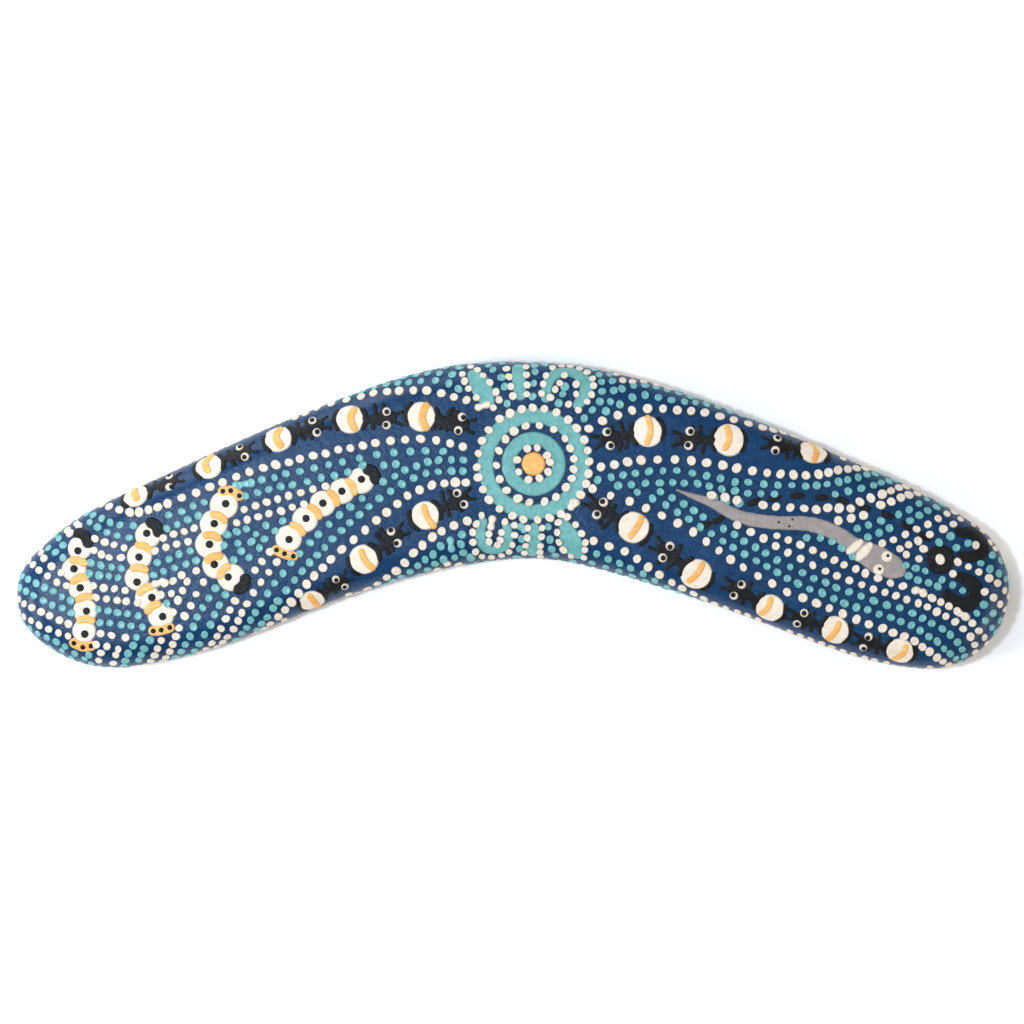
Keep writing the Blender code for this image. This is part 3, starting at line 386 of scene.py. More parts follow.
class Blade:
    """The blade's centreline and the round-edged surface that is laid over it."""

    def __init__(self):
        knots = chord_knots(STATIONS)
        where = np.linspace(0, knots[-1], DENSE_STEPS + 1)
        self.line = natural_spline(knots, STATIONS, where)
        self.tangent = unit(np.gradient(self.line[:, :2], where, axis=0))
        self.taper = np.gradient(self.line[:, 2], where)
        centre, half, out = self.ring(1.0, DENSE_STEPS // 4, 24)
        edge = centre + out * half[:, None]
        self.middle = (edge.min(axis=0) + edge.max(axis=0)) / 2
        self.line[:, :2] -= self.middle

    def ring(self, level, side_steps, cap_steps):
        """Centre, half-width and outward direction of every point of the loop at this level.

        Level 1 is the outline, and level 0 is the centreline.
        """
        pick = (np.linspace(0, 1, side_steps + 1) * DENSE_STEPS).round().astype(int)
        lean = level * self.taper[pick][:, None]
        along = self.tangent[pick]
        left = np.stack((-along[:, 1], along[:, 0]), axis=1)
        upper = -lean * along + np.sqrt(1 - lean ** 2) * left
        lower = -lean * along - np.sqrt(1 - lean ** 2) * left
        stations = self.line[pick]
        rows = [(stations, upper), self.cap(stations[-1], upper[-1], lower[-1], cap_steps),
                (stations[::-1], lower[::-1]), self.cap(stations[0], lower[0], upper[0], cap_steps)]
        centre = np.concatenate([part[0] for part in rows])
        out = np.concatenate([part[1] for part in rows])
        return centre[:, :2], centre[:, 2], out

    @staticmethod
    def cap(station, start, end, steps):
        first = math.atan2(start[1], start[0])
        turn = (math.atan2(end[1], end[0]) - first) % (2 * math.pi) - 2 * math.pi
        angles = first + turn * np.arange(1, steps) / steps
        out = np.stack((np.cos(angles), np.sin(angles)), axis=1)
        return np.repeat(station[None], steps - 1, axis=0), out

    def foot(self, points):
        """Centre, half-width, outward direction and level of any plan points."""
        coarse = self.line[::COARSE]
        nearest = np.concatenate([
            (np.linalg.norm(block[:, None] - coarse[None, :, :2], axis=2) / coarse[None, :, 2])
            .argmin(axis=1) for block in np.array_split(points, len(points) // 20000 + 1)])
        window = np.clip(nearest[:, None] * COARSE + np.arange(-COARSE, COARSE + 1), 0, DENSE_STEPS)
        around = self.line[window]
        levels = np.linalg.norm(points[:, None] - around[:, :, :2], axis=2) / around[:, :, 2]
        best = levels.argmin(axis=1)
        station = around[np.arange(len(points)), best]
        return station[:, :2], station[:, 2], unit(points - station[:, :2]), levels.min(axis=1)

    def unroll(self, points):
        """Plan positions seen from above, moved to the origin, with the round edge laid out flat."""
        points = np.asarray(points, dtype=float) - self.middle
        centre, half, out, level = self.foot(points)
        inward = (1 - level) * half
        cosine = np.clip((TOP_ROLL - inward) / TOP_ROLL, 0, 1)
        flat = np.where(inward < TOP_ROLL, TOP_ROLL - EDGE_ARC + TOP_ROLL * np.arccos(cosine), inward)
        return centre + out * (half - flat)[:, None]

    def lay(self, centre, half, out, inward, lift):
        """Unrolled positions laid on the finished face, lift millimetres above it."""
        arc = np.maximum(TOP_ROLL - inward, 0)
        phi = math.pi / 2 - np.minimum(arc, EDGE_ARC) / TOP_ROLL
        under = np.minimum(np.maximum(arc - EDGE_ARC, 0) / UNDER_RADIUS, math.pi / 2)
        depth = np.where(inward < TOP_ROLL, TOP_ROLL - TOP_ROLL * np.cos(phi), inward)
        rise = CROWN * (1 - np.clip(1 - depth / half, 0, 1) ** 2)
        height = WIDEST_Z + TOP_ROLL * np.sin(phi) + rise
        depth = depth + BACK_ROLL * (1 - np.cos(under))
        height = height - WIDEST_Z * np.sin(under)
        facing = np.where(under > 0, -under, phi)
        flat = centre + out * (half - inward)[:, None]
        lift = lift + RIPPLE * wobble(flat, RIPPLE_LENGTH, 5) * np.clip((inward + 6) / 6, 0, 1)
        depth = depth - lift * np.cos(facing)
        height = height + lift * np.sin(facing)
        return np.column_stack((centre + out * (half - depth)[:, None], height))

    def wrap(self, points, *lifts):
        """The given plan points, laid on the face once for each lift."""
        centre, half, out, level = self.foot(points)
        return [self.lay(centre, half, out, (1 - level) * half, lift) for lift in lifts]


blade = Blade()


# ---------------------------------------------------------------- meshes
class Gather:
    """Points in millimetres and faces of many small closed shapes, which become one piece."""

    def __init__(self):
        self.points, self.faces, self.tone, self.edge, self.count = [], [], [], [], 0

    def add(self, points, faces, tone, edge):
        self.points.append(points)
        self.faces += [tuple(face) for face in (np.asarray(faces) + self.count).tolist()]
        self.tone.append(np.broadcast_to(tone, len(points)))
        self.edge.append(np.broadcast_to(edge, len(points)))
        self.count += len(points)

    def piece(self, name, finish, *nodes):
        """Make the object with its material, hang it under the root body and hide the CAD nodes it stands in
        for. A finish is a CAD slot and a material; only the material is used here.
        """
        slot, material = finish
        mesh = bpy.data.meshes.new(name)
        mesh.from_pydata((np.concatenate(self.points) * MM).tolist(), [], self.faces)
        for label, values in (("tone", self.tone), ("edge", self.edge)):
            layer = mesh.attributes.new(label, "FLOAT", "POINT")
            layer.data.foreach_set("value", np.concatenate(values).astype(np.float32))
        mesh.materials.append(material)
        mesh.shade_smooth()
        made = bpy.data.objects.new(name, mesh)
        bpy.context.scene.collection.objects.link(made)
        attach(made, "root")
        if nodes:
            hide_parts(*nodes)


def disc(place, radius):
    """A single stamp."""
    return np.array([(*place, radius)])


def stamps(points, on_plan=True):
    """A brush stroke as round stamps: x, y and radius, from rows of x, y and half-width."""
    rows = np.array(points, dtype=float)
    if on_plan:
        rows[:, :2] = blade.unroll(rows[:, :2])
    knots = chord_knots(rows)
    where = np.linspace(0, knots[-1], max(int(knots[-1] / STAMP_STEP), 2))
    path = natural_spline(knots, rows, where)
    path[:, 2] = np.maximum(path[:, 2], 0.2) * (1 + STROKE_WANDER * wobble(path[:, :2], 3.5, 11))
    return path


def field(points, shapes):
    """Depth inside the union of the shapes, direction towards the inside, and paint height."""
    depth = np.full(len(points), -1e9)
    inside = np.zeros((len(points), 2))
    height = np.zeros(len(points))
    for marks, rise, shoulder in shapes:
        away = points[:, None] - marks[None, :, :2]
        distance = np.linalg.norm(away, axis=2)
        best = (marks[None, :, 2] - distance).argmax(axis=1)
        row = np.arange(len(points))
        reach = marks[best, 2] - distance[row, best]
        t = np.clip(reach / shoulder, 0, 1)
        height = np.maximum(height, rise * np.sqrt(1 - (1 - t) ** 2))
        better = reach > depth
        depth = np.where(better, reach, depth)
        inside[better] = -unit(away[row, best])[better]
    return depth, inside, height


def wet_cells(depth, shape):
    """Grid cells that touch the paint, as four point numbers each, and the sides round them."""
    wet = (depth > 0).reshape(shape)
    used = wet[:-1, :-1] | wet[1:, :-1] | wet[:-1, 1:] | wet[1:, 1:]
    number = np.arange(wet.size).reshape(shape)
    i, j = np.nonzero(used)
    cells = np.stack((number[i, j], number[i + 1, j], number[i + 1, j + 1], number[i, j + 1]), axis=1)
    padded = np.pad(used, 1)
    sides = []
    for step, (a, b) in (((0, -1), (0, 1)), ((1, 0), (1, 2)), ((0, 1), (2, 3)), ((-1, 0), (3, 0))):
        open_side = ~padded[i + 1 + step[0], j + 1 + step[1]]
        sides.append(cells[open_side][:, (a, b)])
    return cells, np.concatenate(sides)


def patch(gather, marks, kind, tone=0.5, rises=None):
    """One raised area of thick paint over the union of some sets of stamps."""
    rise, shoulder, base, grid = THICK[kind]
    shapes = [(rows, high, shoulder) for rows, high in zip(marks, rises or [rise] * len(marks))]
    low = np.min([(rows[:, :2] - rows[:, 2:]).min(axis=0) for rows in marks], axis=0) - 2 * grid
    high = np.max([(rows[:, :2] + rows[:, 2:]).max(axis=0) for rows in marks], axis=0) + 2 * grid
    xs, ys = np.arange(low[0], high[0], grid), np.arange(low[1], high[1], grid)
    nodes = np.stack(np.meshgrid(xs, ys, indexing="ij"), axis=-1).reshape(-1, 2)
    depth, inside, _ = field(nodes, shapes)
    cells, sides = wet_cells(depth, (len(xs), len(ys)))

    kept = np.unique(cells)
    renumber = np.full(len(nodes), -1)
    renumber[kept] = np.arange(len(kept))
    cells, sides = renumber[cells], renumber[sides]
    spot = nodes[kept]
    outside = depth[kept] < 0
    spot[outside] -= inside[kept][outside] * depth[kept][outside][:, None]
    depth, _, height = field(spot, shapes)
    height[outside] = 0
    texture = 0.05 * wobble(spot, 2.6, 21) + 0.03 * wobble(spot, 1.1, 22)
    over, under = blade.wrap(spot, base + height * (1 + texture), np.full(len(spot), UNDERLAP))
    count = len(spot)
    faces = np.concatenate((cells, cells[:, ::-1] + count,
                            np.column_stack((sides[:, ::-1], sides + count))))
    # edge rises from 0 at the patch's outline; the materials paint shade along that outline by it.
    edge = np.concatenate((PATCH_EDGE * np.clip(depth, 0, 1), np.zeros(count)))
    gather.add(np.concatenate((over, under)), faces, tone, edge)


def painted(name, finish, marks, kind, *nodes):
    """A piece that is one patch."""
    gather = Gather()
    patch(gather, marks, kind)
    gather.piece(name, finish, *nodes)


def row_places(row):
    """Unrolled positions of the dots of a row, evenly stepped along a smooth line through its points."""
    ends = [(row[0], row[1])] + [(row[k + 1], row[k + 2]) for k in range(2, len(row), 3)]
    ends = blade.unroll(ends)
    if len(ends) == 1:
        return ends
    knots = chord_knots(ends)
    where = [knots[0]]
    for start, end, count in zip(knots, knots[1:], row[2::3]):
        where += list(start + (end - start) * np.arange(1, count + 1) / count)
    return natural_spline(knots, ends, np.array(where))


def loops_to_faces(loops, count):
    """Quads between neighbouring closed loops of equal length."""
    k = np.arange(count)
    after = (k + 1) % count
    return np.concatenate([np.stack((r * count + k, r * count + after, (r + 1) * count + after,
                                     (r + 1) * count + k), axis=1) for r in range(loops - 1)])


def dots(gather, places, radius, base=0.0, jitter=DOT_JITTER):
    """Printed dots at unrolled positions, each a little different."""
    count = len(places)
    places = places + rng.normal(0, jitter, (count, 2)).clip(-2 * jitter, 2 * jitter)
    size = radius * rng.normal(1, DOT_SPREAD, count).clip(*DOT_SIZES)
    turn = np.arange(DOT_SIDES) * 2 * math.pi / DOT_SIDES
    lean = rng.uniform(0, 2 * math.pi, (count, 1))
    oval = rng.uniform(0, DOT_OVAL, (count, 1))
    drop = rng.uniform(0, DOT_DROP, (count, 1)) + (rng.random((count, 1)) < LONG_SHARE) * LONG_DROP
    outline = 1 + oval * np.cos(2 * (turn - lean)) + drop * np.cos(turn - lean) ** 3
    outline += rng.normal(0, DOT_ROUGH, (count, DOT_SIDES))
    _, half, _, level = blade.foot(places)
    tall = DOT_HEIGHT * rng.uniform(*DOT_HEIGHTS, count) * np.clip(
        0.75 + (1 - level) * half / THIN_WITHIN, RIM_DOT_THINNEST, 1)

    fractions = np.array([1.0] + [f for f, _ in DOT_PROFILE])
    levels = np.array([0.0] + [h for _, h in DOT_PROFILE])
    reach = size[:, None, None] * fractions[None, :, None] * (
        1 + (outline[:, None] - 1) * fractions[None, :, None] ** 2)
    ring = np.stack((reach * np.cos(turn), reach * np.sin(turn)), axis=-1) + places[:, None, None]
    lift = base + tall[:, None, None] * levels[None, :, None] * np.ones((1, 1, DOT_SIDES))
    lift[:, 0] = UNDERLAP
    lift[:, 1:] *= 1 + 0.05 * rng.normal(0, 1, (count, 1, DOT_SIDES)) * (fractions[1:, None] > 0.5)
    flat = np.concatenate((ring.reshape(count, -1, 2), places[:, None], places[:, None]), axis=1)
    lifts = np.concatenate((lift.reshape(count, -1), (base + tall * DOT_MIDDLE)[:, None],
                            np.full((count, 1), UNDERLAP)), axis=1)
    points = blade.wrap(flat.reshape(-1, 2), lifts.reshape(-1))[0]
    # edge runs from 0 at a dot's outline to 1 at its middle; the materials paint shade by it at the outline,
    # on the inner ring and at the middle.
    edge = np.concatenate((np.repeat(1 - fractions, DOT_SIDES), (1.0, 0.0)))

    rings = len(fractions)
    k = np.arange(DOT_SIDES)
    after = (k + 1) % DOT_SIDES
    top, bottom = rings * DOT_SIDES, rings * DOT_SIDES + 1
    last = (rings - 1) * DOT_SIDES
    caps = np.concatenate((np.stack((last + k, last + after, np.full(DOT_SIDES, top)), axis=1),
                           np.stack((after, k, np.full(DOT_SIDES, bottom)), axis=1)))
    per_dot = rings * DOT_SIDES + 2
    shift = (np.arange(count) * per_dot)[:, None, None]
    tone = np.repeat(rng.random(count), per_dot)
    start = gather.count
    quads = (loops_to_faces(rings, DOT_SIDES) + shift).reshape(-1, 4)
    gather.add(points, quads, tone, np.tile(edge, count))
    gather.faces += [tuple(f) for f in ((caps + shift).reshape(-1, 3) + start).tolist()]


# ---------------------------------------------------------------- materials
def plug(tree, socket, value):
    """Link a socket into another, or set it to a constant."""
    if isinstance(value, bpy.types.NodeSocket):
        tree.links.new(value, socket)
    else:
        socket.default_value = value


def node(tree, kind, inputs=(), **settings):
    made = tree.nodes.new(kind)
    for key, value in settings.items():
        setattr(made, key, value)
    for name, value in dict(inputs).items():
        plug(tree, made.inputs[name], value)
    return made


def blank_material(name):
    made = bpy.data.materials.new(name)
    made.use_nodes = True
    return made, made.node_tree, made.node_tree.nodes["Principled BSDF"]


def noise(tree, vector, scale, detail=4.0, roughness=0.55):
    return node(tree, "ShaderNodeTexNoise", {
        "Vector": vector, "Scale": scale, "Detail": detail, "Roughness": roughness}).outputs["Fac"]


def attribute(tree, name):
    return node(tree, "ShaderNodeAttribute", attribute_name=name).outputs["Fac"]


def span(tree, value, low, high, start, end):
    """Map a value from one range to another."""
    return node(tree, "ShaderNodeMapRange", {
        "Value": value, "From Min": low, "From Max": high, "To Min": start, "To Max": end},
        clamp=True).outputs["Result"]


def mapping(tree, vector, **values):
    return node(tree, "ShaderNodeMapping", {"Vector": vector, **values}).outputs[0]


def blend_colours(tree, factor, first, second):
    made = node(tree, "ShaderNodeMix", data_type="RGBA", clamp_factor=True)
    for socket, value in ((0, factor), (6, first), (7, second)):
        plug(tree, made.inputs[socket], (*value, 1.0) if isinstance(value, tuple) else value)
    return made.outputs[2]


def blends(tree, colour, layers):
    """Blend a colour towards others, each where its pattern is between low and high."""
    for pattern, low, high, most, other in layers:
        colour = blend_colours(tree, span(tree, pattern, low, high, 0.0, most), colour, other)
    return colour


def maths(tree, operation, first, second):
    return node(tree, "ShaderNodeMath", {0: first, 1: second}, operation=operation).outputs[0]


def bumped(tree, shader, strength, distance, height):
    bump = node(tree, "ShaderNodeBump", {"Strength": strength, "Distance": distance, "Height": height})
    tree.links.new(bump.outputs[0], shader.inputs["Normal"])


def paint(name, colour, shade, pale, roughness=0.42, gloss=0.5, edge_shade=0.25, ring=0.0, prick_shade=0.0,
          peel=0.5, streak=0.5):
    """Satin acrylic: mottled colour, brush drag, painted shade along the outer edges of raised paint and an
    orange-peel surface.

    Printed dots also have a thin ring of painted shade on the inner slope and a spot of painted shade at the
    middle, where the stick lifted off.
    """
    made, tree, shader = blank_material(name)
    place = node(tree, "ShaderNodeTexCoord").outputs["Object"]
    dragged = mapping(tree, place, Scale=(0.45, 1.0, 1.0), Rotation=(0, 0, 0.35))
    cloud = noise(tree, place, 60, 4, 0.6)
    mottle = noise(tree, place, 380, 4, 0.65)
    drag = noise(tree, dragged, 620, 5, 0.62)
    fine = noise(tree, place, 1500, 3, 0.6)
    edge = attribute(tree, "edge")
    # dark is the colour of the painted shade: round the edges, on the dots' inner ring and at their middles.
    dark = tuple(0.4 * c for c in shade)
    mixed = blends(tree, colour, (
        (cloud, 0.35, 0.65, 0.6, shade), (mottle, 0.47, 0.62, 0.85, shade),
        (fine, 0.45, 0.62, 0.45, shade), (drag, 0.50, 0.70, streak, pale),
        (attribute(tree, "tone"), 0.0, 1.0, 0.35, pale)))
    # Painted shade: darker towards the outline of every dot and raised patch, where its side wall turns away
    # from the light.
    mixed = blend_colours(tree, span(tree, edge, 0.0, 0.14, edge_shade, 0.0), mixed, dark)
    # Painted shade: a darker ring on each dot's inner slope, down into its dimple.
    if ring:
        band = maths(tree, "MULTIPLY", span(tree, edge, 0.24, 0.36, 0.0, ring),
                     span(tree, edge, 0.44, 0.6, 1.0, 0.0))
        mixed = blend_colours(tree, band, mixed, dark)
    # Painted shade: a darker spot in the dip at each dot's middle.
    if prick_shade:
        mixed = blend_colours(tree, span(tree, edge, 0.80, 0.96, 0.0, prick_shade), mixed, dark)
    tree.links.new(mixed, shader.inputs["Base Color"])
    rough = span(tree, maths(tree, "ADD", drag, mottle), 0.7, 1.3, roughness - 0.07, roughness + 0.1)
    tree.links.new(rough, shader.inputs["Roughness"])
    shader.inputs["Specular IOR Level"].default_value = gloss
    skin = maths(tree, "ADD", maths(tree, "ADD", mottle, maths(tree, "MULTIPLY", drag, 0.8)),
                 maths(tree, "MULTIPLY", fine, 0.7))
    bumped(tree, shader, peel, 0.00025, skin)
    return made


def timber(name):
    """Oiled hardwood, with growth rings round an axis below the board and short dark pores."""
    made, tree, shader = blank_material(name)
    place = node(tree, "ShaderNodeTexCoord").outputs["Object"]
    shifted = mapping(tree, place, Location=(0, -0.02, 0.075), Rotation=(0.06, 0.035, 0.02))
    rings = node(tree, "ShaderNodeTexWave", {
        "Vector": shifted, "Scale": 120.0, "Distortion": 5.0, "Detail": 3.0, "Detail Scale": 0.4,
        "Detail Roughness": 0.6}, wave_type="RINGS", rings_direction="X").outputs["Fac"]
    drawn_out = mapping(tree, place, Scale=(0.035, 1.0, 1.0))
    fibre = noise(tree, drawn_out, 1900, 4, 0.6)
    pores = noise(tree, drawn_out, 3600, 2, 0.5)
    cloud = noise(tree, place, 18, 4, 0.6)
    mixed = blend_colours(tree, rings, (0.36, 0.155, 0.062), (0.24, 0.085, 0.032))
    mixed = blends(tree, mixed, (
        (cloud, 0.35, 0.7, 0.55, (0.45, 0.21, 0.09)), (fibre, 0.35, 0.75, 0.55, (0.17, 0.06, 0.025)),
        (pores, 0.62, 0.72, 0.8, (0.07, 0.025, 0.012))))
    tree.links.new(mixed, shader.inputs["Base Color"])
    tree.links.new(span(tree, fibre, 0.3, 0.8, 0.42, 0.62), shader.inputs["Roughness"])
    bumped(tree, shader, 0.45, 0.00015, maths(tree, "ADD", fibre, maths(tree, "MULTIPLY", pores, -0.7)))
    return made


def paper(name):
    """Pale matt paper for the floor."""
    made, tree, shader = blank_material(name)
    grain = noise(tree, node(tree, "ShaderNodeTexCoord").outputs["Object"], 40, 3)
    mixed = blend_colours(tree, span(tree, grain, 0.3, 0.7, 0, 1), (0.95,) * 3, (0.97,) * 3)
    tree.links.new(mixed, shader.inputs["Base Color"])
    shader.inputs["Roughness"].default_value = 0.9
    shader.inputs["Specular IOR Level"].default_value = 0.1
    return made


# Each finish is the CAD material slot and the material.
NAVY = ("navy_paint", paint(
    "navy_acrylic", (0.0022, 0.035, 0.106), (0.0012, 0.019, 0.062), (0.006, 0.057, 0.150),
    roughness=0.27, gloss=0.26, edge_shade=0.0, peel=0.55, streak=0.6))
TURQ = ("turquoise_paint", paint(
    "turquoise_acrylic", (0.145, 0.425, 0.43), (0.095, 0.33, 0.34), (0.195, 0.485, 0.485),
    roughness=0.29, gloss=0.64, edge_shade=0.6, ring=0.4, prick_shade=0.7, peel=0.6, streak=0.6))
TURQ_GROUND = ("turquoise_paint", paint(
    "turquoise_ground", (0.125, 0.375, 0.37), (0.072, 0.26, 0.25), (0.165, 0.42, 0.415),
    roughness=0.34, edge_shade=0.5, peel=0.7, streak=0.5))
CREAM_PAINT = ("cream_paint", paint(
    "cream_acrylic", (0.745, 0.665, 0.56), (0.65, 0.55, 0.435), (0.775, 0.71, 0.62),
    roughness=0.42, edge_shade=0.65, ring=0.17, prick_shade=0.75, peel=0.8, streak=0.5))
OCHRE = ("ochre_paint", paint(
    "ochre_acrylic", (0.77, 0.40, 0.085), (0.69, 0.30, 0.05), (0.80, 0.50, 0.19),
    roughness=0.44, edge_shade=0.3, peel=0.55, streak=0.8))
BLACK = ("black_paint", paint(
    "black_acrylic", (0.006, 0.007, 0.008), (0.004, 0.005, 0.006), (0.014, 0.015, 0.017),
    roughness=0.36, gloss=0.17, edge_shade=0.0, peel=0.9, streak=0.5))
GREY = ("grey_paint", paint(
    "grey_acrylic", (0.275, 0.24, 0.235), (0.21, 0.19, 0.185), (0.34, 0.295, 0.28),
    roughness=0.42, edge_shade=0.25, peel=0.55, streak=0.8))
WOOD = ("timber", timber("oiled_hardwood"))


# ---------------------------------------------------------------- board and ground coat
def surface_loop(inward_of, level, lift):
    """A closed loop on the blade. inward_of gives each point's unrolled distance in."""
    centre, half, out = blade.ring(level, SIDE_STEPS, CAP_STEPS)
    inward = inward_of(half, centre + out * half[:, None])
    return blade.lay(centre, half, out, inward, np.broadcast_to(lift, len(half)))


def crown_loop(fraction, lift):
    """A loop on the crown, a fraction of the way from the centreline to the round edge."""
    return surface_loop(lambda half, _: half - fraction * (half - TOP_ROLL), fraction * CROWN_LEVEL, lift)


def edge_loop(arc, lift):
    """A loop round the edge, at an arc length below the start of the round edge."""
    return surface_loop(lambda half, _: np.full(len(half), TOP_ROLL - arc), 1.0, lift)


def paint_edge(lift, back=0.0):
    """The wandering lower edge of the ground coat, or a loop a little back up from it."""
    def inward(half, place):
        wander = 0.7 * wobble(place, 26, 31) + 0.3 * wobble(place, 7, 32)
        turn = np.radians(PAINT_EDGE + PAINT_EDGE_WANDER * wander)
        return TOP_ROLL - EDGE_ARC - (turn - back) * UNDER_RADIUS
    return surface_loop(inward, 1.0, lift)


def shell(name, finish, loops, node_name):
    """A closed piece through neighbouring loops."""
    gather = Gather()
    faces = loops_to_faces(len(loops), len(loops[0]))[:, ::-1]
    gather.add(np.concatenate(loops), faces, 0.5, 1.0)
    gather.piece(name, finish, node_name)


def under_arcs(turns):
    return [EDGE_ARC + UNDER_RADIUS * math.radians(turn) for turn in turns]


edge_arcs = [EDGE_ARC * k / ROLL_STEPS for k in range(ROLL_STEPS + 1)] + under_arcs(UNDER_TURNS)
loops = [crown_loop(f, 0.0) for f in CROWN_FRACTIONS] + [edge_loop(a, 0.0) for a in edge_arcs]
loops += [paint_edge(0.0, 0.03), paint_edge(-0.4 * COAT_THICKNESS), paint_edge(-COAT_THICKNESS, 0.02)]
loops += [edge_loop(a, -COAT_THICKNESS) for a in edge_arcs[::-3]]
loops += [crown_loop(f, -COAT_THICKNESS) for f in CROWN_FRACTIONS[::-2]]
shell("ground_paint", NAVY, loops, "ground_coat")

loops = [crown_loop(f, -BOARD_DEPTH) for f in CROWN_FRACTIONS[::2]]
loops += [edge_loop(a, -BOARD_DEPTH) for a in edge_arcs[1:ROLL_STEPS + 1:2]]
loops += [edge_loop(a, BARE_DEPTH) for a in under_arcs(BACK_TURNS)]
back_edge = loops[-1]
back_edge[:, 2] = 0.0
spine, _, _ = blade.ring(0.0, SIDE_STEPS, CAP_STEPS)
spine = np.column_stack((spine, np.zeros(len(spine))))
loops += [back_edge * (1 - share) + spine * share for share in (0.25, 0.5, 0.75, 1.0)]
shell("carved_board", WOOD, loops, "wooden_blade")


# ---------------------------------------------------------------- roundel and petals
def circle(centre, radius, half):
    """A ring of stamps in unrolled positions."""
    turn = np.arange(RING_STAMPS) * 2 * math.pi / RING_STAMPS
    path = np.column_stack((centre[0] + radius * np.cos(turn), centre[1] + radius * np.sin(turn),
                            np.full(RING_STAMPS, half)))
    path[:, 2] *= 1 + 0.025 * wobble(path[:, :2], 9, 41)
    return path


hub = blade.unroll([ROUNDEL])[0]
painted("roundel_spot_painted", OCHRE, [disc(hub, ROUNDEL_SPOT)], "spot", "roundel_centre")
for label, (small, large) in (("inner", ROUNDEL_INNER), ("outer", ROUNDEL_OUTER)):
    band = circle(hub, (small + large) / 2, (large - small) / 2)
    painted("roundel_" + label + "_painted", TURQ_GROUND, [band], "band", "roundel_" + label + "_ring")
roundel_dots = Gather()
for radius, size, right, bearings in ROUNDEL_DOTS:
    turn = np.radians(bearings)
    places = hub + (right, 0) + radius * np.column_stack((np.cos(turn), np.sin(turn)))
    dots(roundel_dots, places, size, base=ON_BAND)
roundel_dots.piece("roundel_dots", CREAM_PAINT)

for label, rows in PETALS.items():
    painted("petal_" + label + "_painted", TURQ_GROUND, [stamps(rows)], "band", "petal_" + label)
petal_rows = [row_places(row) for row in PETAL_DOTS]
petal_dots = Gather()
for places in petal_rows:
    dots(petal_dots, places, PETAL_DOT, base=ON_PETAL)
petal_dots.piece("petal_dots", CREAM_PAINT)


# ---------------------------------------------------------------- dot rows
def run_over_edge(rows, taken):
    """Carry on over the rim each end of a row that heads for it, where there is room."""
    longer = []
    for places in rows:
        for _ in range(2):
            places = places[::-1]
            if len(places) < 2:
                continue
            step = places[-1] - places[-2]
            step *= np.clip(np.linalg.norm(step), *ROW_STEP) / np.linalg.norm(step)
            for _ in range(OVER_EDGE_MOST):
                _, half, out, level = blade.foot(places[-1:])
                inward = ((1 - level) * half)[0]
                near_rim = RIM_LOWEST + OVER_EDGE_ROOM < inward < OVER_EDGE_FROM
                heads_out = step @ out[0] > HEADS_OUT * np.linalg.norm(step)
                clear = np.linalg.norm(taken - places[-1] - step, axis=1).min() > ROW_CLEAR
                if not (near_rim and heads_out and clear):
                    break
                places = np.vstack((places, places[-1] + step))
                taken = np.vstack((taken, places[-1]))
        longer.append(places)
    return longer, taken


def left_bare(place):
    return any(x0 < place[0] < x1 and y0 < place[1] < y1 for x0, x1, y0, y1 in BARE_RIM)


def rim_rows(taken, colours):
    """Dots in rows round the rim, wherever there is room, coloured like the nearest dot."""
    found = []
    centre, half, out = blade.ring(1.0, DENSE_STEPS, RIM_CAP_STEPS)
    for inward, spacing in RIM_ROWS:
        loop = centre + out * (half - inward)[:, None]
        length = chord_knots(loop)
        where = np.arange(rng.uniform(0, spacing), length[-1], spacing)
        for place in np.column_stack([np.interp(where, length, loop[:, k]) for k in (0, 1)]):
            away = np.linalg.norm(taken - place, axis=1)
            colour = colours[away.argmin()]
            if away.min() > RIM_CLEAR and not (inward > 0 and left_bare(place)):
                found.append((place, colour))
                taken = np.vstack((taken, place))
                colours = np.append(colours, colour)
    return [np.array([place for place, colour in found if colour == which]) for which in (0, 1)]


def motif_marks():
    """Places on the ants and the track, which the rim rows keep clear of."""
    marks = []
    for x, y, heading, scale, _, _ in sum(ANTS.values(), ()):
        way = np.array((math.cos(math.radians(heading)), math.sin(math.radians(heading))))
        across = np.array((-way[1], way[0]))
        centre = blade.unroll([(x, y)])[0]
        marks += [centre + way * scale * a + across * scale * b
                  for a in ANT_MARKS[0] for b in ANT_MARKS[1]]
    for rows in TRACK_HOOKS.values():
        marks += list(blade.unroll([row[:2] for row in rows]))
    return marks


def dot_pieces(label, finish, groups):
    """Two pieces of dots, one for each arm."""
    for side, sign in (("left", -1), ("right", 1)):
        gather = Gather()
        for rows, radius in groups:
            places = np.concatenate(rows)
            dots(gather, places[places[:, 0] * sign > 0], radius)
        gather.piece(label + "_dots_" + side, finish)


big_rows, cream_rows, turquoise_rows = (
    [row_places(row) for row in rows] for rows in (BIG_CREAM, CREAM, TURQUOISE))
marks = motif_marks()
everything = np.concatenate([*big_rows, *cream_rows, *turquoise_rows, *petal_rows, marks])
big_rows, everything = run_over_edge(big_rows, everything)
cream_rows, everything = run_over_edge(cream_rows, everything)
turquoise_rows, everything = run_over_edge(turquoise_rows, everything)
# Rim dots are cream next to cream rows and motifs, and turquoise next to turquoise rows and petals.
creams = np.concatenate([*big_rows, *cream_rows, marks])
others = np.concatenate(turquoise_rows + petal_rows)
cream_rim, turquoise_rim = rim_rows(np.concatenate((creams, others)),
                                    np.repeat((0, 1), (len(creams), len(others))))
dot_pieces("cream", CREAM_PAINT, ((big_rows, BIG_DOT), (cream_rows, DOT), ([cream_rim], DOT)))
dot_pieces("turquoise", TURQ, ((turquoise_rows, DOT), ([turquoise_rim], DOT)))

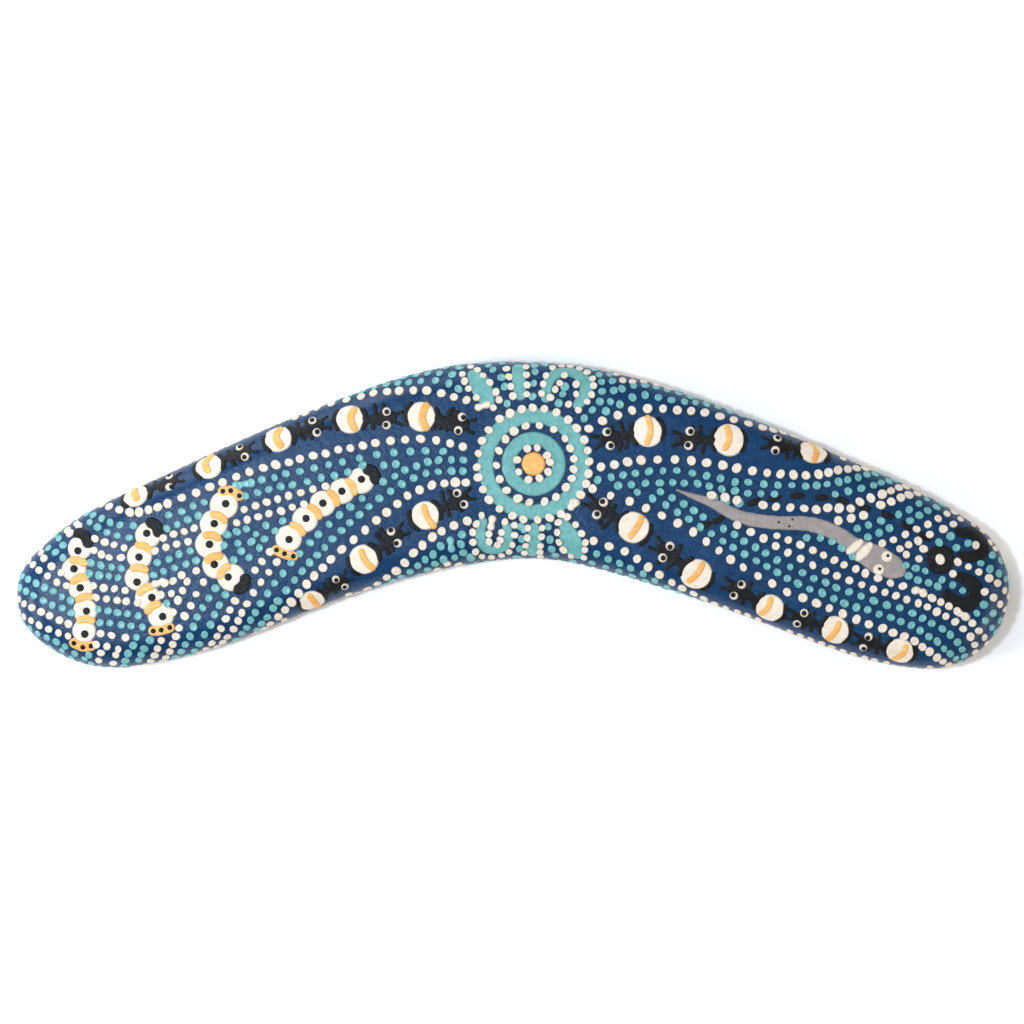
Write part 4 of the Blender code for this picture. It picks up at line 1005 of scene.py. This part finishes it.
showing = Gather()
for place in blade.unroll(SHOWING):
    patch(showing, [disc(place, SHOWING_RADIUS)], "showing")
showing.piece("turquoise_under_cream", TURQ)
for label, pairs, finish in (("cream", MERGED_CREAM, CREAM_PAINT), ("turquoise", MERGED_TURQUOISE, TURQ)):
    merged = Gather()
    for (x0, y0), (x1, y1) in pairs:
        waist = ((x0 + x1) / 2, (y0 + y1) / 2, MERGED_WAIST)
        patch(merged, [stamps(((x0, y0, MERGED_RADIUS), waist, (x1, y1, MERGED_RADIUS)))], "merged")
    merged.piece("merged_" + label + "_dots", finish)


# ---------------------------------------------------------------- ants
def turned(local, centre, heading):
    """Local rows of x, y and more, turned by a heading in degrees and moved to a centre."""
    rows = np.array(local, dtype=float)
    c, s = math.cos(math.radians(heading)), math.sin(math.radians(heading))
    rows[:, :2] = rows[:, :2] @ np.array(((c, s), (-s, c))) + centre
    return rows


def arc_stroke(radius, middle, half_span, half_width):
    """A crescent drawn round the abdomen, in the ant's own frame."""
    turn = np.radians(middle + half_span * np.linspace(-1, 1, 5))
    width = half_width * np.array((1.0, 1.1, 0.9, 1.1, 1.0))
    return np.column_stack((radius * np.cos(turn), radius * np.sin(turn), width))


number = 0
for trail, ants in ANTS.items():
    abdomens, bodies, stripes, eyes, pupils = (Gather() for _ in range(5))
    first = number + 1
    for x, y, heading, scale, stripe, legs in ants:
        number += 1
        centre = blade.unroll([(x, y)])[0]

        def local(points):
            return stamps(turned(np.array(points) * scale, centre, heading), on_plan=False)

        belly = local([(*rng.normal(0, ABDOMEN_STRETCH, 2), ABDOMEN_RADIUS) for _ in range(5)])
        patch(abdomens, [belly], "abdomen", rng.random())
        line = stamps([(*place, STRIPE_HALF[trail]) for place in stripe])
        patch(stripes, [line], "stripe", rng.random())
        spine = [(along, rng.normal(0, 0.25), half * rng.uniform(0.92, 1.1)) for along, half in ANT_SPINE]
        body = [local(spine), local(arc_stroke(*FRONT_ARC)), local(arc_stroke(*REAR_ARC))]
        for root, along, across in zip(legs[::3], legs[1::3], legs[2::3]):
            knee = (0.5 * (root + along) + rng.normal(0, 0.25), 0.55 * across, LEG_HALF)
            foot = (along, 0.92 * across, LEG_HALF * rng.uniform(0.95, 1.35))
            body.append(local([(root, 0, LEG_HALF), knee, foot]))
        root, spread, length, half = FEELER
        for side in (-1, 1):
            way = math.radians(side * (spread + rng.normal(0, 4)))
            out, across = length * math.cos(way), length * math.sin(way)
            middle = (root + 0.5 * out, side * 0.4 + 0.5 * across, half)
            body.append(local([(root, 0, 1.5 * half), middle, (root + out, across, half)]))
            eye = np.array(((EYE_PLACE[0] + rng.normal(0, 0.4), side * EYE_PLACE[1], EYE_RADIUS),))
            patch(eyes, [turned(eye * scale, centre, heading)], "eye", rng.random())
            pupil = eye + (*rng.normal(0, 0.3, 2), PUPIL_RADIUS - EYE_RADIUS)
            patch(pupils, [turned(pupil * scale, centre, heading)], "pupil")
        patch(bodies, body, "ant", rises=[rng.uniform(*BODY_RISE) for _ in body], tone=rng.random())
    trail_numbers = range(first, number + 1)
    abdomens.piece("ant_abdomens_" + trail, CREAM_PAINT, *("ant_abdomen_%02d" % k for k in trail_numbers))
    bodies.piece("ant_bodies_" + trail, BLACK, *("ant_body_%02d" % k for k in trail_numbers))
    stripes.piece("ant_stripes_" + trail, OCHRE)
    eyes.piece("ant_eyes_" + trail, CREAM_PAINT)
    pupils.piece("ant_pupils_" + trail, BLACK)


# ---------------------------------------------------------------- grubs
bands, spots, ochre_ends, black_ends = (Gather() for _ in range(4))
for number, (middles, radius, band_places, spot_places, dark_end, ochre_end) in enumerate(GRUBS, 1):
    rings = blade.unroll(middles)
    body, rises = [], []
    for ring in rings:
        body.append(disc(ring, radius * rng.uniform(0.97, 1.03)))
        rises.append(rng.uniform(*GRUB_RISE))
    grub = Gather()
    patch(grub, body, "grub", 0.6, rises)
    grub.piece("grub_%d_painted" % number, CREAM_PAINT, "grub_%d" % number)
    for middle, first, second in zip(blade.unroll(band_places), rings, rings[1:]):
        along = unit(second - first)
        across = np.array((-along[1], along[0]))
        length, width = GRUB_BAND
        line = [(*(middle + across * length * s - along * 0.5 * (1 - s * s)), width * (1 - 0.1 * abs(s)))
                for s in (-1.0, -0.3, 0.3, 1.0)]
        patch(bands, [stamps(line, on_plan=False)], "grub band", rng.random())
    for place in blade.unroll(spot_places):
        patch(spots, [disc(place, GRUB_SPOT)], "grub spot", rng.random())
    patch(black_ends, [stamps([(*place, BLACK_END_HALF) for place in dark_end])], "black end")
    patch(ochre_ends, [stamps([(*place, OCHRE_END_HALF) for place in ochre_end])], "ochre end")
    for place in blade.unroll(ochre_end):
        patch(spots, [disc(place, END_SPOT)], "end spot")
bands.piece("grub_bands", OCHRE)
spots.piece("grub_spots", BLACK)
ochre_ends.piece("grub_ochre_ends", OCHRE)
black_ends.piece("grub_black_ends", BLACK)

# ---------------------------------------------------------------- snake and tracks
painted("snake_painted", GREY, [stamps(SNAKE)], "snake", "snake")
collars, snake_eyes, dark = Gather(), Gather(), Gather()
for rows in SNAKE_COLLARS:
    patch(collars, [stamps(rows)], "collar")
for place in blade.unroll(SNAKE_EYES):
    patch(snake_eyes, [disc(place, SNAKE_EYE)], "snake eye")
    patch(dark, [disc(place + PUPIL_SHIFT, SNAKE_PUPIL)], "snake pupil")
for place in blade.unroll(SNAKE_MARKS):
    patch(dark, [disc(place, SNAKE_MARK)], "snake mark")
collars.piece("snake_collars", CREAM_PAINT)
snake_eyes.piece("snake_eyes", CREAM_PAINT)
dark.piece("snake_marks", BLACK)

track = blade.unroll([TRACK_DISC[:2]])
painted("track_disc_painted", BLACK, [disc(track[0], TRACK_DISC[2])], "track", "track_disc")
for label, rows in TRACK_HOOKS.items():
    painted("track_" + label + "_painted", BLACK, [stamps(rows)], "track", "track_hook_" + label)
centre_dot = Gather()
dots(centre_dot, track, TRACK_DOT, base=ON_TRACK, jitter=TRACK_JITTER)
centre_dot.piece("track_disc_dot", CREAM_PAINT)
dashes = Gather()
places = blade.unroll(DASHES)
for place, way in zip(places, unit(np.gradient(places, axis=0))):
    length, width = DASH
    line = [(*(place + way * length * s), width * (1 - 0.25 * abs(s))) for s in (-1, 0, 1)]
    patch(dashes, [stamps(line, on_plan=False)], "dash")
dashes.piece("dashes", BLACK)

# ---------------------------------------------------------------- floor, light and camera
FLOOR_REACH, FLOOR_Z = 3.0, -0.0002
LIGHTS = (               # name, place, target, size, watts, colour
    ("haze", (-0.33, 0.0, 0.90), (-0.16, 0, 0), 0.12, 4.2, (0.86, 0.98, 1.16)),
    ("key", (-1.05, -0.25, 0.55), (0, 0, 0), 0.3, 9.0, (1, 1, 1)),
    ("fill_right", (1.10, -0.45, 0.60), (0, 0, 0), 0.8, 7.0, (1.06, 0.96, 0.80)),
    ("fill_top", (-0.55, 1.05, 0.50), (0, 0, 0), 0.8, 9.0, (1, 1, 1)),
)
WORLD_COLOUR, WORLD_STRENGTH = (0.97, 0.98, 1.0, 1.0), 0.42
VIEW_WIDTH = 0.36166     # metres across the picture at the height of the widest line
VIEW_CENTRE = (-0.00035, 0.00124)
LENS, SENSOR = 300.0, 36.0

scene = bpy.context.scene
corners = [(x * FLOOR_REACH, y * FLOOR_REACH, FLOOR_Z) for x, y in ((-1, -1), (1, -1), (1, 1), (-1, 1))]
floor_mesh = bpy.data.meshes.new("floor")
floor_mesh.from_pydata(corners, [], [(0, 1, 2, 3)])
floor_mesh.materials.append(paper("pale_paper"))
floor = bpy.data.objects.new("floor", floor_mesh)
scene.collection.objects.link(floor)

for name, place, target, size, watts, colour in LIGHTS:
    data = bpy.data.lights.new(name, "AREA")
    data.shape, data.size, data.energy, data.color = "SQUARE", size, watts, colour
    lamp = bpy.data.objects.new(name, data)
    lamp.location = place
    lamp.rotation_euler = (Vector(target) - Vector(place)).to_track_quat("-Z", "Y").to_euler()
    scene.collection.objects.link(lamp)

world = bpy.data.worlds.new("studio")
world.use_nodes = True
background = world.node_tree.nodes["Background"]
background.inputs["Color"].default_value = WORLD_COLOUR
background.inputs["Strength"].default_value = WORLD_STRENGTH
scene.world = world
scene.view_settings.view_transform = "Standard"

camera_data = bpy.data.cameras.new("camera")
camera_data.lens, camera_data.sensor_width, camera_data.clip_end = LENS, SENSOR, 20.0
camera = bpy.data.objects.new("camera", camera_data)
camera.location = (*VIEW_CENTRE, VIEW_WIDTH * LENS / SENSOR + WIDEST_Z * MM)
scene.collection.objects.link(camera)
bpy.context.scene.camera = camera
